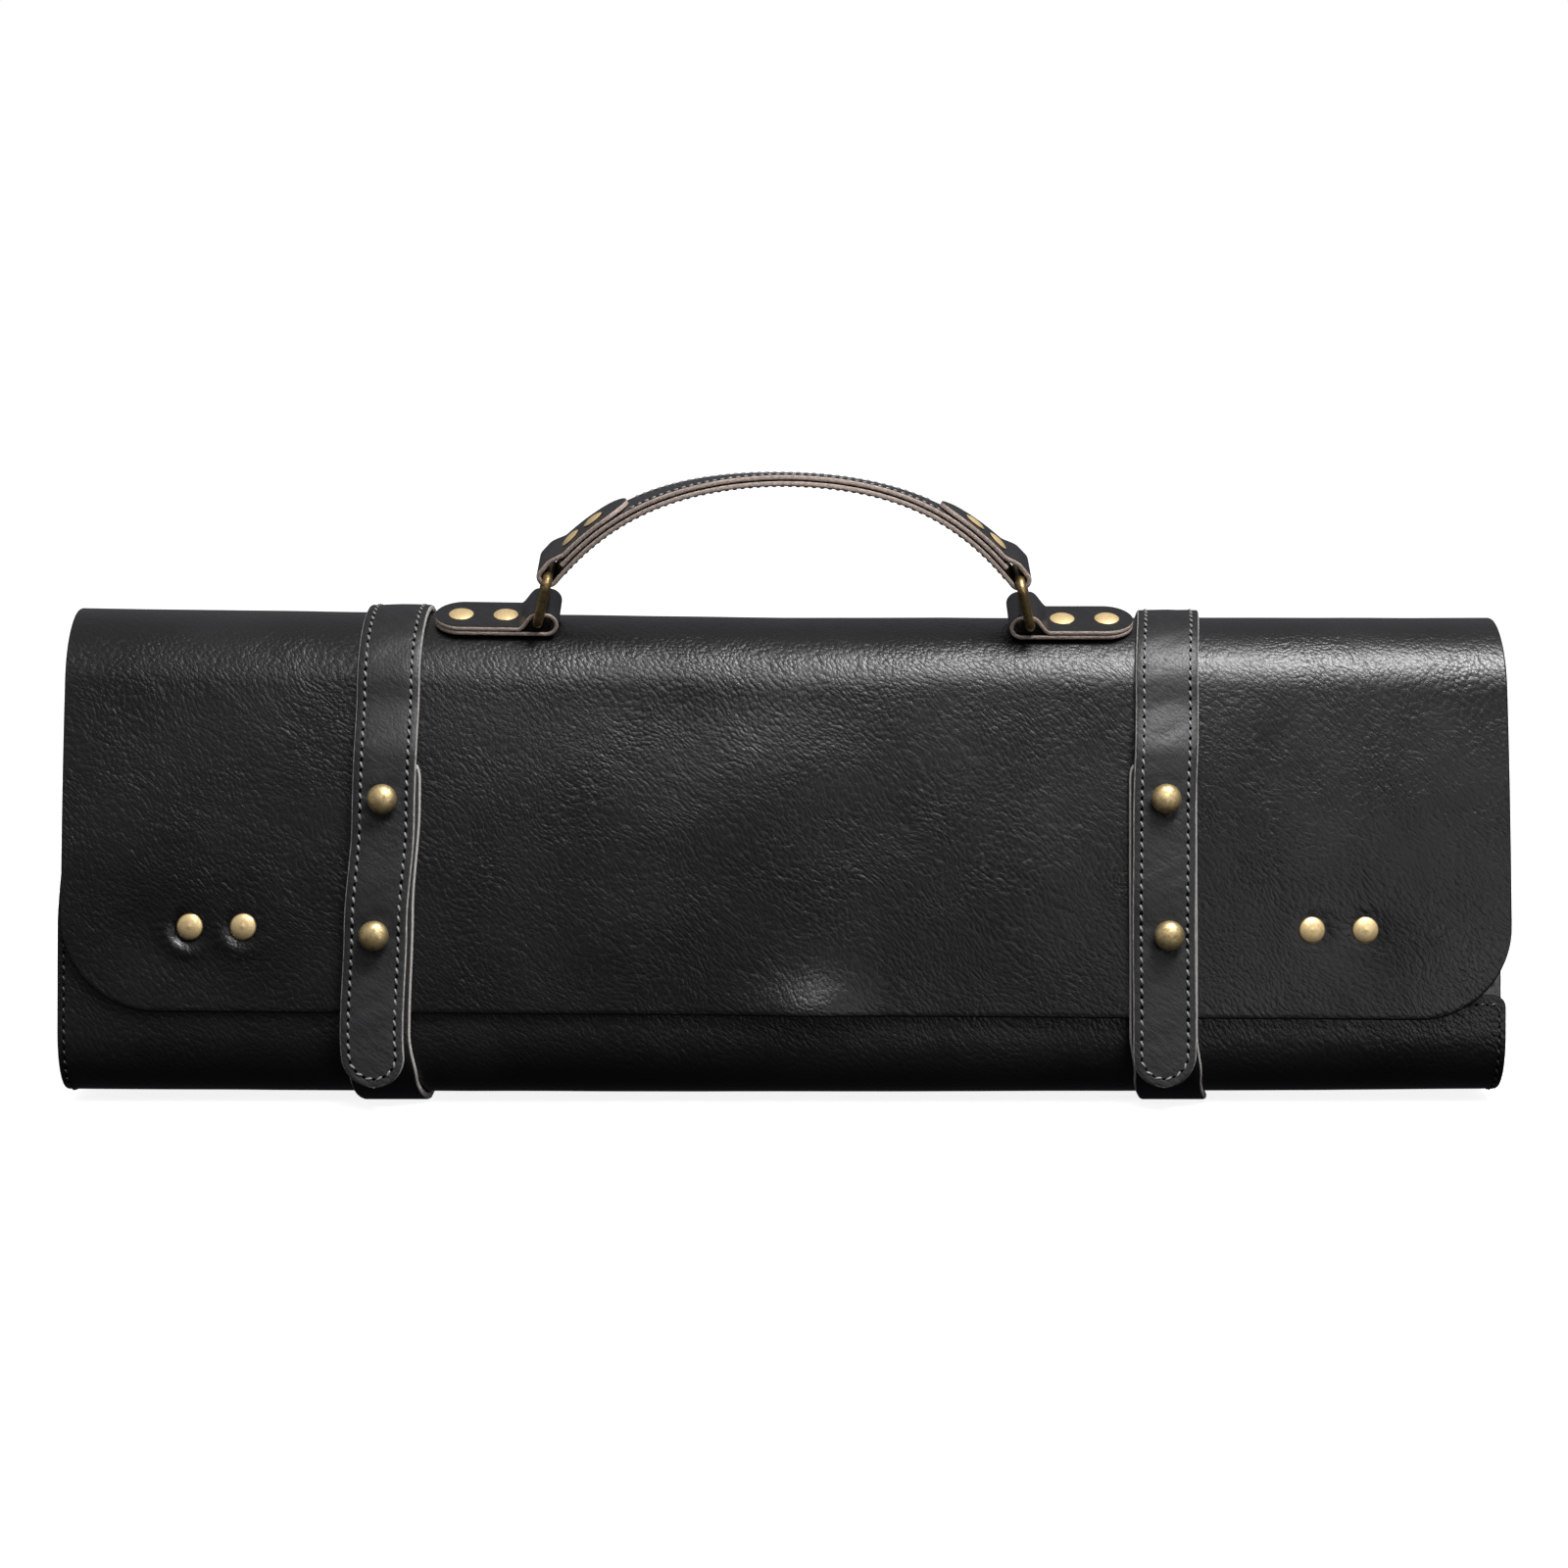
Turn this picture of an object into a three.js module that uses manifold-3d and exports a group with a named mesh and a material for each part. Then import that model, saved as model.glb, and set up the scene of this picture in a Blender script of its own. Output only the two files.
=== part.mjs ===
// Leather drumstick bag: a rolled body with a long front flap, two buttoned straps and a carrying
// handle on brass rings. Millimetres, +Z up, -Y is the front, X runs along the bag.
import * as THREE from 'three';
import { mergeVertices } from 'three/addons/utils/BufferGeometryUtils.js';
import Module from 'manifold-3d';

// Space kept between pieces that touch on the real bag.
const gap = 0.3;

// Body, measured over the leather.
const bodyLength = 462;
const bodyHeight = 150.8;
const bodyDepth = 77;
const shellWall = 2;
const rollRadius = 28;
const toeRadius = 20;
const heelRadius = 20;
const faceRadius = 800;
const leftRise = 3.2;
const bottomSag = 0.9;

// Flap and front panel.
const flapShift = 1.5;
const flapEdgeHeight = 28.5;
const flapEdgeTilt = 3;
const flapCornerRadius = 30;
const hemHeight = 112;
const cornerHemHeight = 35;
const cornerHemLength = 62;

// Inner panel and end gussets.
const pocketWall = 1.5;
const pocketHeight = 116;
const pocketInset = 3;
const pocketClearance = 0.65;
const gussetWall = 1.8;
const gussetDepth = 12;
const gussetInset = 0.6;

// Straps.
const strapSpacing = 252;
const strapCentreX = -2;
const upperStrapWidth = 20;
const lowerStrapWidth = 21.6;
const upperStrapWall = 2.2;
const lowerStrapWall = 2.4;
const lowerStrapTop = 106.7;
const strapLiftLength = 12;
const strapLiftStop = 1.5;
const strapTail = 16.5;
const strapJoinHeight = 72;

// Studs that the straps button over.
const studHeadRadius = 4.75;
const studHeadHeight = 6;
const studNeckRadius = 2.4;
const studNeckLength = 3.2;
const studHighHeight = 95.6;
const studLowHeight = 53.8;
const studHoleClearance = 0.5;
const studSlitLength = 3.4;
const studSlitWidth = 1;
const rightLowStudShift = 1.2;

// Flap rivets.
const flapRivetRadius = 4.25;
const flapRivetRise = 2.6;
const flapRivetHeight = 56.6;
const rightFlapRivetDrop = 1.1;
const leftFlapRivetX = -180;
const rightFlapRivetX = 176;
const flapRivetSpacing = 17;
const rivetShankRadius = 1.5;

// Base tabs on the roll.
const tabSpacing = 152.6;
const tabLength = 36.4;
const tabWidth = 18.6;
const tabWall = 1.2;
const tabTilt = 22;
const tabFoldLength = 9;
const tabRivetRadius = 4.1;
const tabRivetRise = 0.9;
const tabRivetPitch = 14.4;
const tabRivetFromEnd = 8.5;

// Rings.
const ringWireRadius = 1.6;
const ringInnerWidth = 20.8;
const ringHeight = 15.9;
const ringTilt = 17.5;
const ringLean = 13.5;
const ringBarInset = 2.6;
const ringCornerRadius = 3.2;
const eyeClearance = 0.45;

// Handle.
const handleWidth = 17.6;
const handleWall = 1.6;
const handleLinerWall = 1.6;
const handleRise = 32.5;
const handleRoundness = 0.6;
const leftTwistPower = 1.4;
const rightTwistPower = 3;
const tongueLength = 34;
const tongueFoldStart = 3.4;
const tongueFoldLength = 10;
const linerStop = 6;
const handleRivetRadius = 3.7;
const handleRivetRise = 0.8;
const handleRivetFromLoop = 12;
const handleRivetPitch = 9.6;

// Rows that every sheet shares on each stretch of the section, so that lying sheets stay parallel.
const stretchRows = { face: 8, toe: 5, bottom: 2, heel: 4, back: 2, roll: 9 };
const stretches = ['face', 'toe', 'bottom', 'heel', 'back', 'roll'];
const turn = stretches.length;

// Dents and bulges of the flap: x and height as shares of half the body's length and of its height,
// reach as a share of the roll radius, depth as a share of the wall, inwards positive.
const dents = [
  { name: 'pull left of the left rivets', x: -0.87, z: 0.35, reach: 0.5, depth: 0.6 },
  { name: 'pull under the left rivets', x: -0.78, z: 0.3, reach: 0.5, depth: 0.4 },
  { name: 'pull at the right rivets', x: 0.79, z: 0.33, reach: 0.5, depth: 0.4 },
  { name: 'long hollow, upper end', x: -0.16, z: 0.86, reach: 1.2, depth: 0.7 },
  { name: 'long hollow, lower end', x: 0.06, z: 0.6, reach: 1.2, depth: 0.6 },
  { name: 'bulge at the edge', x: 0.05, z: 0.2, reach: 0.55, depth: -0.8 },
  { name: 'hollow beside the right strap', x: 0.33, z: 0.7, reach: 1, depth: 0.4 },
];

// Straps lean a little: sideways shift at stations of the section, as shares of the strap's width.
const upperCourses = {
  left: [
    { at: 4, shift: 0.17 },
    { at: 5.4, shift: 0.17 },
    { at: 6, shift: 0.1 },
    { at: 6.4, shift: 0.06 },
    { at: 6.7, shift: -0.05 },
    { at: 7, shift: -0.11 },
    { at: 8, shift: -0.07 },
  ],
  right: [
    { at: 4, shift: 0.1 },
    { at: 5.4, shift: 0.09 },
    { at: 6, shift: -0.1 },
    { at: 6.4, shift: -0.18 },
    { at: 6.7, shift: -0.2 },
    { at: 7, shift: -0.19 },
    { at: 8, shift: -0.2 },
  ],
};
const lowerCourses = {
  left: [
    { at: 0, shift: 0.09 },
    { at: 0.35, shift: 0.09 },
    { at: 0.65, shift: 0 },
    { at: 1, shift: -0.05 },
    { at: 1.4, shift: 0.03 },
    { at: 2, shift: 0.16 },
    { at: 4, shift: 0.16 },
    { at: 5, shift: 0.16 },
  ],
  right: [
    { at: 0, shift: -0.16 },
    { at: 0.6, shift: -0.18 },
    { at: 1, shift: -0.18 },
    { at: 1.4, shift: -0.09 },
    { at: 2, shift: 0.09 },
    { at: 4, shift: 0.1 },
    { at: 5, shift: 0.1 },
  ],
};

const wasm = await Module();
wasm.setup();

const leatherBlack = { color: 0x1b1b1c, roughness: 0.45, metalness: 0 };
const brass = { color: 0xa08350, roughness: 0.38, metalness: 1 };

const bag = new THREE.Group();

const smooth = (t) => {
  const held = Math.min(Math.max(t, 0), 1);
  return held * held * (3 - 2 * held);
};
const mix = (a, b, t) => a + (b - a) * t;
const radians = (degrees) => degrees * Math.PI / 180;

// Cross-section of the outer envelope at one place along the bag. Its front face is a wide arc that
// touches the roll above and the toe below from inside.
function sectionAt(x) {
  const share = x / (bodyLength / 2);
  const floor = bottomSag * share * share;
  const top = bodyHeight + leftRise * Math.max(-share, 0);
  const roll = { y: bodyDepth / 2 - rollRadius, z: top - rollRadius };
  const toe = { y: toeRadius - bodyDepth / 2, z: floor + toeRadius };
  const heel = { y: bodyDepth / 2 - heelRadius, z: floor + heelRadius };
  const apart = Math.hypot(toe.y - roll.y, toe.z - roll.z);
  const toRoll = faceRadius - rollRadius;
  const toToe = faceRadius - toeRadius;
  const along = (apart * apart + toRoll * toRoll - toToe * toToe) / (2 * apart);
  const off = Math.sqrt(toRoll * toRoll - along * along);
  const ey = (toe.y - roll.y) / apart;
  const ez = (toe.z - roll.z) / apart;
  const face = { y: roll.y + ey * along - ez * off, z: roll.z + ez * along + ey * off };
  const rollAngle = Math.atan2(roll.z - face.z, roll.y - face.y);
  const toeAngle = Math.PI + Math.atan2(face.z - toe.z, face.y - toe.y);
  return { floor, top, roll, toe, heel, face, rollAngle, toeAngle };
}

// Point and outward normal at a station: 0 to 1 down the face, then toe, bottom, heel, back, roll.
function pointAt(section, station) {
  const wrapped = ((station % turn) + turn) % turn;
  const stretch = stretches[Math.min(Math.floor(wrapped), turn - 1)];
  const part = wrapped - Math.floor(wrapped);
  const arc = (centre, radius, from, to) => {
    const angle = mix(from, to, part);
    const ny = Math.cos(angle);
    const nz = Math.sin(angle);
    return { y: centre.y + radius * ny, z: centre.z + radius * nz, ny, nz };
  };
  const { face, toe, heel, roll, floor, rollAngle, toeAngle } = section;
  if (stretch === 'face') return arc(face, faceRadius, rollAngle, toeAngle);
  if (stretch === 'toe') return arc(toe, toeRadius, toeAngle, 1.5 * Math.PI);
  if (stretch === 'bottom') return { y: mix(toe.y, heel.y, part), z: floor, ny: 0, nz: -1 };
  if (stretch === 'heel') return arc(heel, heelRadius, 1.5 * Math.PI, 2 * Math.PI);
  if (stretch === 'back') return { y: bodyDepth / 2, z: mix(heel.z, roll.z, part), ny: 1, nz: 0 };
  return arc(roll, rollRadius, 0, rollAngle);
}

// Station on the front face, or on the toe below it, at a height.
function stationAtHeight(section, height) {
  const { face, toe, rollAngle, toeAngle } = section;
  const faceAngle = Math.PI - Math.asin((height - face.z) / faceRadius);
  if (faceAngle <= toeAngle) return (faceAngle - rollAngle) / (toeAngle - rollAngle);
  const angle = Math.PI - Math.asin(Math.max((height - toe.z) / toeRadius, -1));
  return 1 + (angle - toeAngle) / (1.5 * Math.PI - toeAngle);
}

const backStation = (height) => {
  const { heel, roll } = sectionAt(0);
  return 4 + (height - heel.z) / (roll.z - heel.z);
};

// Stations from one to another, with every shared row between them.
function stationsBetween(from, to) {
  const stations = [from];
  for (let whole = Math.floor(from); whole < to; whole++) {
    const count = stretchRows[stretches[((whole % turn) + turn) % turn]];
    for (let k = 0; k < count; k++) {
      const station = whole + k / count;
      if (station > from + 0.02 && station < to - 0.02) stations.push(station);
    }
  }
  stations.push(to);
  return stations;
}

// Value of a course at a station, eased between its rows.
function courseAt(course, station) {
  const after = Math.max(course.findIndex((row) => row.at > station), 1);
  const a = course[after - 1];
  const b = course[after];
  return mix(a.shift, b.shift, smooth((station - a.at) / (b.at - a.at)));
}

// The front panel lies under the flap and swells out to the envelope below the flap's edge.
const lapDepth = (station) => (shellWall + gap) * (1 - smooth((station - 1) / 0.7));

function dentDepth(x, z) {
  let depth = 0;
  for (const dent of dents) {
    const dx = x - dent.x * bodyLength / 2;
    const dz = z - dent.z * bodyHeight;
    const reach = dent.reach * rollRadius;
    depth += dent.depth * shellWall * Math.exp(-(dx * dx + dz * dz) / (reach * reach));
  }
  return depth;
}

// Closed wall between an outer and an inner grid, joined round the rim, with its faces outwards.
function wallGeometry(rows, columns, place) {
  const positions = [];
  for (const side of [0, 1]) {
    for (let i = 0; i <= rows; i++) {
      for (let j = 0; j <= columns; j++) positions.push(...place(i, j, side));
    }
  }
  const at = (side, i, j) => (side * (rows + 1) + i) * (columns + 1) + j;
  const faces = [];
  const quad = (a, b, c, d) => faces.push(a, b, c, a, c, d);
  for (let i = 0; i < rows; i++) {
    for (let j = 0; j < columns; j++) {
      quad(at(0, i, j), at(0, i + 1, j), at(0, i + 1, j + 1), at(0, i, j + 1));
      quad(at(1, i, j), at(1, i, j + 1), at(1, i + 1, j + 1), at(1, i + 1, j));
    }
    quad(at(0, i, 0), at(1, i, 0), at(1, i + 1, 0), at(0, i + 1, 0));
    quad(at(0, i, columns), at(0, i + 1, columns), at(1, i + 1, columns), at(1, i, columns));
  }
  for (let j = 0; j < columns; j++) {
    quad(at(0, 0, j), at(0, 0, j + 1), at(1, 0, j + 1), at(1, 0, j));
    quad(at(0, rows, j), at(1, rows, j), at(1, rows, j + 1), at(0, rows, j + 1));
  }
  return facedOut(positions, faces);
}

// Tube along a closed loop of points in one plane, whose normal is given.
function loopGeometry(points, radius, sides, planeNormal) {
  const positions = [];
  const count = points.length;
  points.forEach((point, i) => {
    const ahead = points[(i + 1) % count];
    const behind = points[(i - 1 + count) % count];
    const tangent = ahead.clone().sub(behind).normalize();
    const outward = tangent.clone().cross(planeNormal).normalize();
    for (let k = 0; k < sides; k++) {
      const angle = 2 * Math.PI * k / sides;
      const spot = point.clone()
        .addScaledVector(outward, radius * Math.cos(angle))
        .addScaledVector(planeNormal, radius * Math.sin(angle));
      positions.push(spot.x, spot.y, spot.z);
    }
  });
  const faces = [];
  for (let i = 0; i < count; i++) {
    for (let k = 0; k < sides; k++) {
      const a = i * sides + k;
      const b = i * sides + (k + 1) % sides;
      const c = ((i + 1) % count) * sides + (k + 1) % sides;
      const d = ((i + 1) % count) * sides + k;
      faces.push(a, b, c, a, c, d);
    }
  }
  return facedOut(positions, faces);
}

// Geometry from raw arrays, turned so that its volume is positive.
function facedOut(positions, faces) {
  let volume = 0;
  for (let f = 0; f < faces.length; f += 3) {
    const [a, b, c] = [faces[f], faces[f + 1], faces[f + 2]]
      .map((index) => new THREE.Vector3().fromArray(positions, 3 * index));
    volume += a.dot(b.cross(c));
  }
  if (volume < 0) faces.reverse();
  const geometry = new THREE.BufferGeometry();
  geometry.setAttribute('position', new THREE.Float32BufferAttribute(positions, 3));
  geometry.setIndex(faces);
  return geometry;
}

function toSolid(geometry) {
  const bare = geometry.clone();
  bare.deleteAttribute('normal');
  bare.deleteAttribute('uv');
  const merged = mergeVertices(bare, 1e-4);
  return new wasm.Manifold(new wasm.Mesh({
    numProp: 3,
    vertProperties: new Float32Array(merged.attributes.position.array),
    triVerts: new Uint32Array(merged.index.array),
  }));
}

function toGeometry(solid) {
  const mesh = solid.getMesh();
  const geometry = new THREE.BufferGeometry();
  geometry.setAttribute('position', new THREE.Float32BufferAttribute(mesh.vertProperties, 3));
  geometry.setIndex(new THREE.BufferAttribute(mesh.triVerts, 1));
  return geometry;
}

const cut = (geometry, tools) => toGeometry(
  tools.reduce((solid, tool) => solid.subtract(toSolid(tool)), toSolid(geometry)));

// Turns +Y to a direction and moves to a point.
function seatMatrix(point, direction) {
  const spin = new THREE.Quaternion().setFromUnitVectors(new THREE.Vector3(0, 1, 0), direction);
  return new THREE.Matrix4().compose(point, spin, new THREE.Vector3(1, 1, 1));
}

// Round drill through a sheet at a point, along its normal.
function drill(point, direction, radius, reach) {
  const geometry = new THREE.CylinderGeometry(radius, radius, 2 * reach, 8);
  return geometry.applyMatrix4(seatMatrix(point, direction));
}

function addPiece(name, geometry, look) {
  const mesh = new THREE.Mesh(geometry, new THREE.MeshStandardMaterial(look));
  mesh.name = name;
  bag.add(mesh);
  return mesh;
}

function addTurned(name, profile, segments, point, direction, look) {
  const points = profile.map(([radius, height]) => new THREE.Vector2(radius, height));
  const mesh = addPiece(name, new THREE.LatheGeometry(points, segments), look);
  mesh.position.copy(point);
  mesh.quaternion.setFromUnitVectors(new THREE.Vector3(0, 1, 0), direction);
}

// Point and normal on the envelope at a station, in space, raised by an offset.
function onEnvelope(x, station, offset) {
  const { y, z, ny, nz } = pointAt(sectionAt(x), station);
  const normal = new THREE.Vector3(0, ny, nz);
  return { normal, point: new THREE.Vector3(x, y, z).addScaledVector(normal, offset) };
}

// Distances from one end of a row of columns: close at the round corners, wider in the middle.
function columnShares() {
  const near = [];
  const steps = 5;
  for (let k = 0; k < steps; k++) {
    near.push(flapCornerRadius * (1 - Math.cos(0.5 * Math.PI * k / steps)));
  }
  const fine = flapCornerRadius / 3;
  for (let k = 0; k < 4; k++) near.push(flapCornerRadius + k * fine);
  const half = bodyLength / 2;
  const start = near[near.length - 1] + fine;
  const wide = 5;
  for (let k = 0; k < wide; k++) near.push(mix(start, half, k / wide));
  const shares = near.map((distance) => distance / bodyLength);
  return [...shares, 0.5, ...shares.map((share) => 1 - share).reverse()];
}

// Point and normal on the flap's outer face, dents included.
function onDentedFlap(x, station) {
  const spot = (dx, ds) => {
    const { point, normal } = onEnvelope(x + dx, station + ds, 0);
    return point.addScaledVector(normal, -dentDepth(point.x, point.z));
  };
  const step = 0.02;
  const point = spot(0, 0);
  const alongX = spot(step * flapRivetRadius, 0).sub(point);
  const downFace = spot(0, step).sub(point);
  return { point, normal: alongX.cross(downFace).normalize().negate() };
}

// Flap rivets: place on the flap's outer face.
const flapRivets = [
  leftFlapRivetX - flapRivetSpacing / 2,
  leftFlapRivetX + flapRivetSpacing / 2,
  rightFlapRivetX - flapRivetSpacing / 2,
  rightFlapRivetX + flapRivetSpacing / 2,
].map((x) => {
  const height = flapRivetHeight - (x > 0 ? rightFlapRivetDrop : 0);
  const station = stationAtHeight(sectionAt(x), height);
  return onDentedFlap(x, station);
});

// Body and flap in one sheet: front panel, bottom, back, roll, flap.
function shellGeometry() {
  const shares = columnShares();
  const left = -bodyLength / 2;
  const fixed = stationsBetween(1, turn);
  const faceRows = 3;
  const flapRows = stretchRows.face;
  const rows = faceRows + fixed.length - 1 + flapRows;

  const hemStation = (x) => {
    const section = sectionAt(x);
    const low = smooth((x - (bodyLength / 2 - cornerHemLength)) / (cornerHemLength / 2));
    return stationAtHeight(section, mix(hemHeight, cornerHemHeight, low));
  };
  const edgeStation = (x) => {
    const fromSide = Math.min(x - left - flapShift, bodyLength / 2 - x);
    const inCorner = Math.max(flapCornerRadius - Math.max(fromSide, 0), 0);
    const raise = flapCornerRadius - Math.sqrt(flapCornerRadius ** 2 - inCorner ** 2);
    const height = flapEdgeHeight - flapEdgeTilt * x / bodyLength + raise;
    return turn + stationAtHeight(sectionAt(x), height);
  };
  const spread = (share, station) => {
    const toFlap = smooth((station - 4) / 2);
    return mix(left + flapShift * toFlap, -left - flapShift * (1 - toFlap), share);
  };

  return wallGeometry(rows, shares.length - 1, (i, j, side) => {
    let station;
    if (i <= faceRows) {
      const x = spread(shares[j], 0);
      station = mix(hemStation(x), 1, i / faceRows);
    } else if (i < faceRows + fixed.length) {
      station = fixed[i - faceRows];
    } else {
      const x = spread(shares[j], turn + 1);
      station = mix(turn, edgeStation(x), (i - faceRows - fixed.length + 1) / flapRows);
    }
    const x = spread(shares[j], station);
    const { y, z, ny, nz } = pointAt(sectionAt(x), station);
    const onFlap = smooth((station - 5.6) / 0.6);
    const sunk = onFlap * dentDepth(x, z) + (station < 3 ? lapDepth(station) : 0);
    const offset = -sunk - side * shellWall;
    return [x, y + ny * offset, z + nz * offset];
  });
}

const rivetHoles = flapRivets.map(({ point, normal }) => (
  drill(point, normal, rivetShankRadius + gap, shellWall + 2 * gap)));

// Inner front panel, a little narrower than the body.
function pocketGeometry() {
  const half = bodyLength / 2 - pocketInset;
  const columns = 4;
  const top = stationAtHeight(sectionAt(0), pocketHeight);
  const stations = stationsBetween(top, 2 - 1 / stretchRows.toe);
  return wallGeometry(stations.length - 1, columns, (i, j, side) => {
    const x = mix(-half, half - flapShift, j / columns);
    const { y, z, ny, nz } = pointAt(sectionAt(x), stations[i]);
    const offset = -lapDepth(stations[i]) - shellWall - pocketClearance - side * pocketWall;
    return [x, y + ny * offset, z + nz * offset];
  });
}

// Outline of an end panel, inside the body's leather and the inner panel.
function gussetOutline(x, inset) {
  const section = sectionAt(x);
  const shape = new THREE.Shape();
  stationsBetween(0, turn).slice(0, -1).forEach((station, index) => {
    const front = 1 - smooth((station - 2) / 0.6) + smooth((station - 5.3) / 0.5);
    const lap = station < 3 ? lapDepth(station) : (shellWall + gap) * smooth((station - 5.3) / 0.5);
    const offset = -(lap + shellWall + gap + front * (pocketClearance + pocketWall) + inset);
    const { y, z, ny, nz } = pointAt(section, station);
    const place = [y + ny * offset, z + nz * offset];
    if (index === 0) shape.moveTo(...place);
    else shape.lineTo(...place);
  });
  shape.closePath();
  return shape;
}

// Tray-shaped end panel: a plate set into the body, with a lip that is sewn along the edge.
function gussetGeometry(side) {
  const outer = side * (bodyLength / 2 - gussetInset) - (side > 0 ? flapShift : 0);
  const inner = outer - side * gussetDepth;
  const plate = inner + side * gussetWall;
  const yzx = new THREE.Matrix4().makeBasis(
    new THREE.Vector3(0, 1, 0), new THREE.Vector3(0, 0, 1), new THREE.Vector3(1, 0, 0));
  const prism = (inset, from, to) => {
    const options = { depth: Math.abs(to - from), bevelEnabled: false };
    const geometry = new THREE.ExtrudeGeometry(gussetOutline(inner, inset), options);
    return geometry.applyMatrix4(yzx).translate(Math.min(from, to), 0, 0);
  };
  return cut(prism(0, inner, outer), [prism(gussetWall, plate, outer + side)]);
}

// Rows of a round end: distance from the tip and half width at each.
function roundEnd(halfWidth) {
  const rows = [];
  const steps = 5;
  for (let k = 1; k <= steps; k++) {
    const angle = radians(mix(12, 90, (k - 1) / (steps - 1)));
    rows.push({ from: halfWidth * (1 - Math.cos(angle)), half: halfWidth * Math.sin(angle) });
  }
  return rows;
}

const strapX = (side) => strapCentreX + side * strapSpacing / 2;
const courseOf = (courses, side) => (side < 0 ? courses.left : courses.right);
const joinStation = backStation(strapJoinHeight);

// Height of the upper strap over the envelope: it climbs onto the lower strap.
function upperLift(section, station) {
  const start = turn + stationAtHeight(section, lowerStrapTop + strapLiftLength);
  const end = turn + stationAtHeight(section, lowerStrapTop + strapLiftStop);
  return gap + (lowerStrapWall + gap) * smooth((station - start) / (end - start));
}

// Place on the upper strap's middle line. Past the toe it hangs straight on.
function upperPlace(centre, station, offset) {
  const section = sectionAt(centre);
  const onFace = Math.min(station, turn + 1);
  const held = pointAt(section, onFace - (station >= turn + 1 ? 1e-6 : 0));
  const tail = Math.max(station - turn - 1, 0) * strapTail;
  const lift = upperLift(section, onFace) + offset;
  return {
    y: held.y + held.ny * lift - held.nz * tail,
    z: held.z + held.nz * lift + held.ny * tail,
    normal: new THREE.Vector3(0, held.ny, held.nz),
  };
}

function upperStrapGeometry(side) {
  const centre = strapX(side);
  const half = upperStrapWidth / 2;
  const section = sectionAt(centre);
  const end = turn + 1;
  const tip = roundEnd(half).map((row) => ({ station: end + 1 - row.from / strapTail, half: row.half }));
  const climb = [strapLiftLength, strapLiftLength / 2, strapLiftStop]
    .map((height) => turn + stationAtHeight(section, lowerStrapTop + height));
  const plain = stationsBetween(joinStation + gap / (bodyHeight - rollRadius - heelRadius), end)
    .filter((station) => climb.every((added) => Math.abs(added - station) > 0.03))
    .concat(climb)
    .sort((a, b) => a - b)
    .map((station) => ({ station, half }));
  const rows = [...plain, ...tip.reverse()];
  const columns = 2;
  return wallGeometry(rows.length - 1, columns, (i, j, underside) => {
    const { station, half: reach } = rows[i];
    const shift = upperStrapWidth * courseAt(courseOf(upperCourses, side), station);
    const across = mix(-reach, reach, j / columns);
    const spot = upperPlace(centre, station, underside ? 0 : upperStrapWall);
    return [centre + shift + across, spot.y, spot.z];
  });
}

function lowerStrapGeometry(side) {
  const centre = strapX(side);
  const half = lowerStrapWidth / 2;
  const stations = stationsBetween(stationAtHeight(sectionAt(centre), lowerStrapTop), joinStation);
  const columns = 2;
  return wallGeometry(stations.length - 1, columns, (i, j, underside) => {
    const shift = lowerStrapWidth * courseAt(courseOf(lowerCourses, side), stations[i]);
    const x = centre + shift + mix(-half, half, j / columns);
    const { y, z, ny, nz } = pointAt(sectionAt(centre), stations[i]);
    const offset = gap + (underside ? 0 : lowerStrapWall);
    return [x, y + ny * offset, z + nz * offset];
  });
}

// Studs stand on the lower strap, with the neck in the upper strap's hole.
function studPlaces(side) {
  const centre = strapX(side);
  const section = sectionAt(centre);
  return [studHighHeight, studLowHeight].map((height) => {
    const aside = side > 0 && height === studLowHeight ? rightLowStudShift : 0;
    const station = stationAtHeight(section, height);
    const shift = upperStrapWidth * courseAt(courseOf(upperCourses, side), turn + station);
    const seat = onEnvelope(centre, station, gap + lowerStrapWall + gap);
    seat.point.x += shift + aside;
    return seat;
  });
}

// Keyhole: round hole for the neck with a short slit below it.
function keyholeTools({ point, normal }) {
  const reach = upperStrapWall + 2 * gap;
  const hole = drill(point, normal, studNeckRadius + studHoleClearance, 2 * reach);
  const slit = new THREE.BoxGeometry(studSlitWidth, 4 * reach, 2 * studSlitLength)
    .translate(0, 0, studSlitLength)
    .applyMatrix4(seatMatrix(point, normal));
  return [hole, slit];
}

const studProfile = () => {
  const neck = studNeckRadius;
  const base = studNeckLength;
  const bulge = 4;
  const profile = [[0, 0], [neck, 0], [neck, base]];
  for (let k = 0; k <= bulge; k++) {
    const angle = mix(radians(-52), radians(90), k / bulge);
    const radius = k === bulge ? 0 : studHeadRadius * Math.cos(angle);
    const height = base + studHeadHeight * (0.42 + 0.58 * Math.sin(angle));
    profile.push([radius, Math.max(height, base)]);
  }
  return profile;
};

// Domed head on a shank that fills its hole: [radius, height] from the shank's foot to the crown.
function rivetProfile(headRadius, rise, shankLength) {
  const profile = [[0, -shankLength], [rivetShankRadius, -shankLength], [rivetShankRadius, gap]];
  const steps = 3;
  for (let k = 0; k <= steps; k++) {
    const angle = radians(mix(8, 90, k / steps));
    const radius = k === steps ? 0 : headRadius * Math.cos(angle) / Math.cos(radians(8));
    profile.push([radius, gap + rise * (k === 0 ? 0.12 : Math.sin(angle))]);
  }
  profile.splice(3, 0, [headRadius * 0.985, gap]);
  return profile;
}

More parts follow.
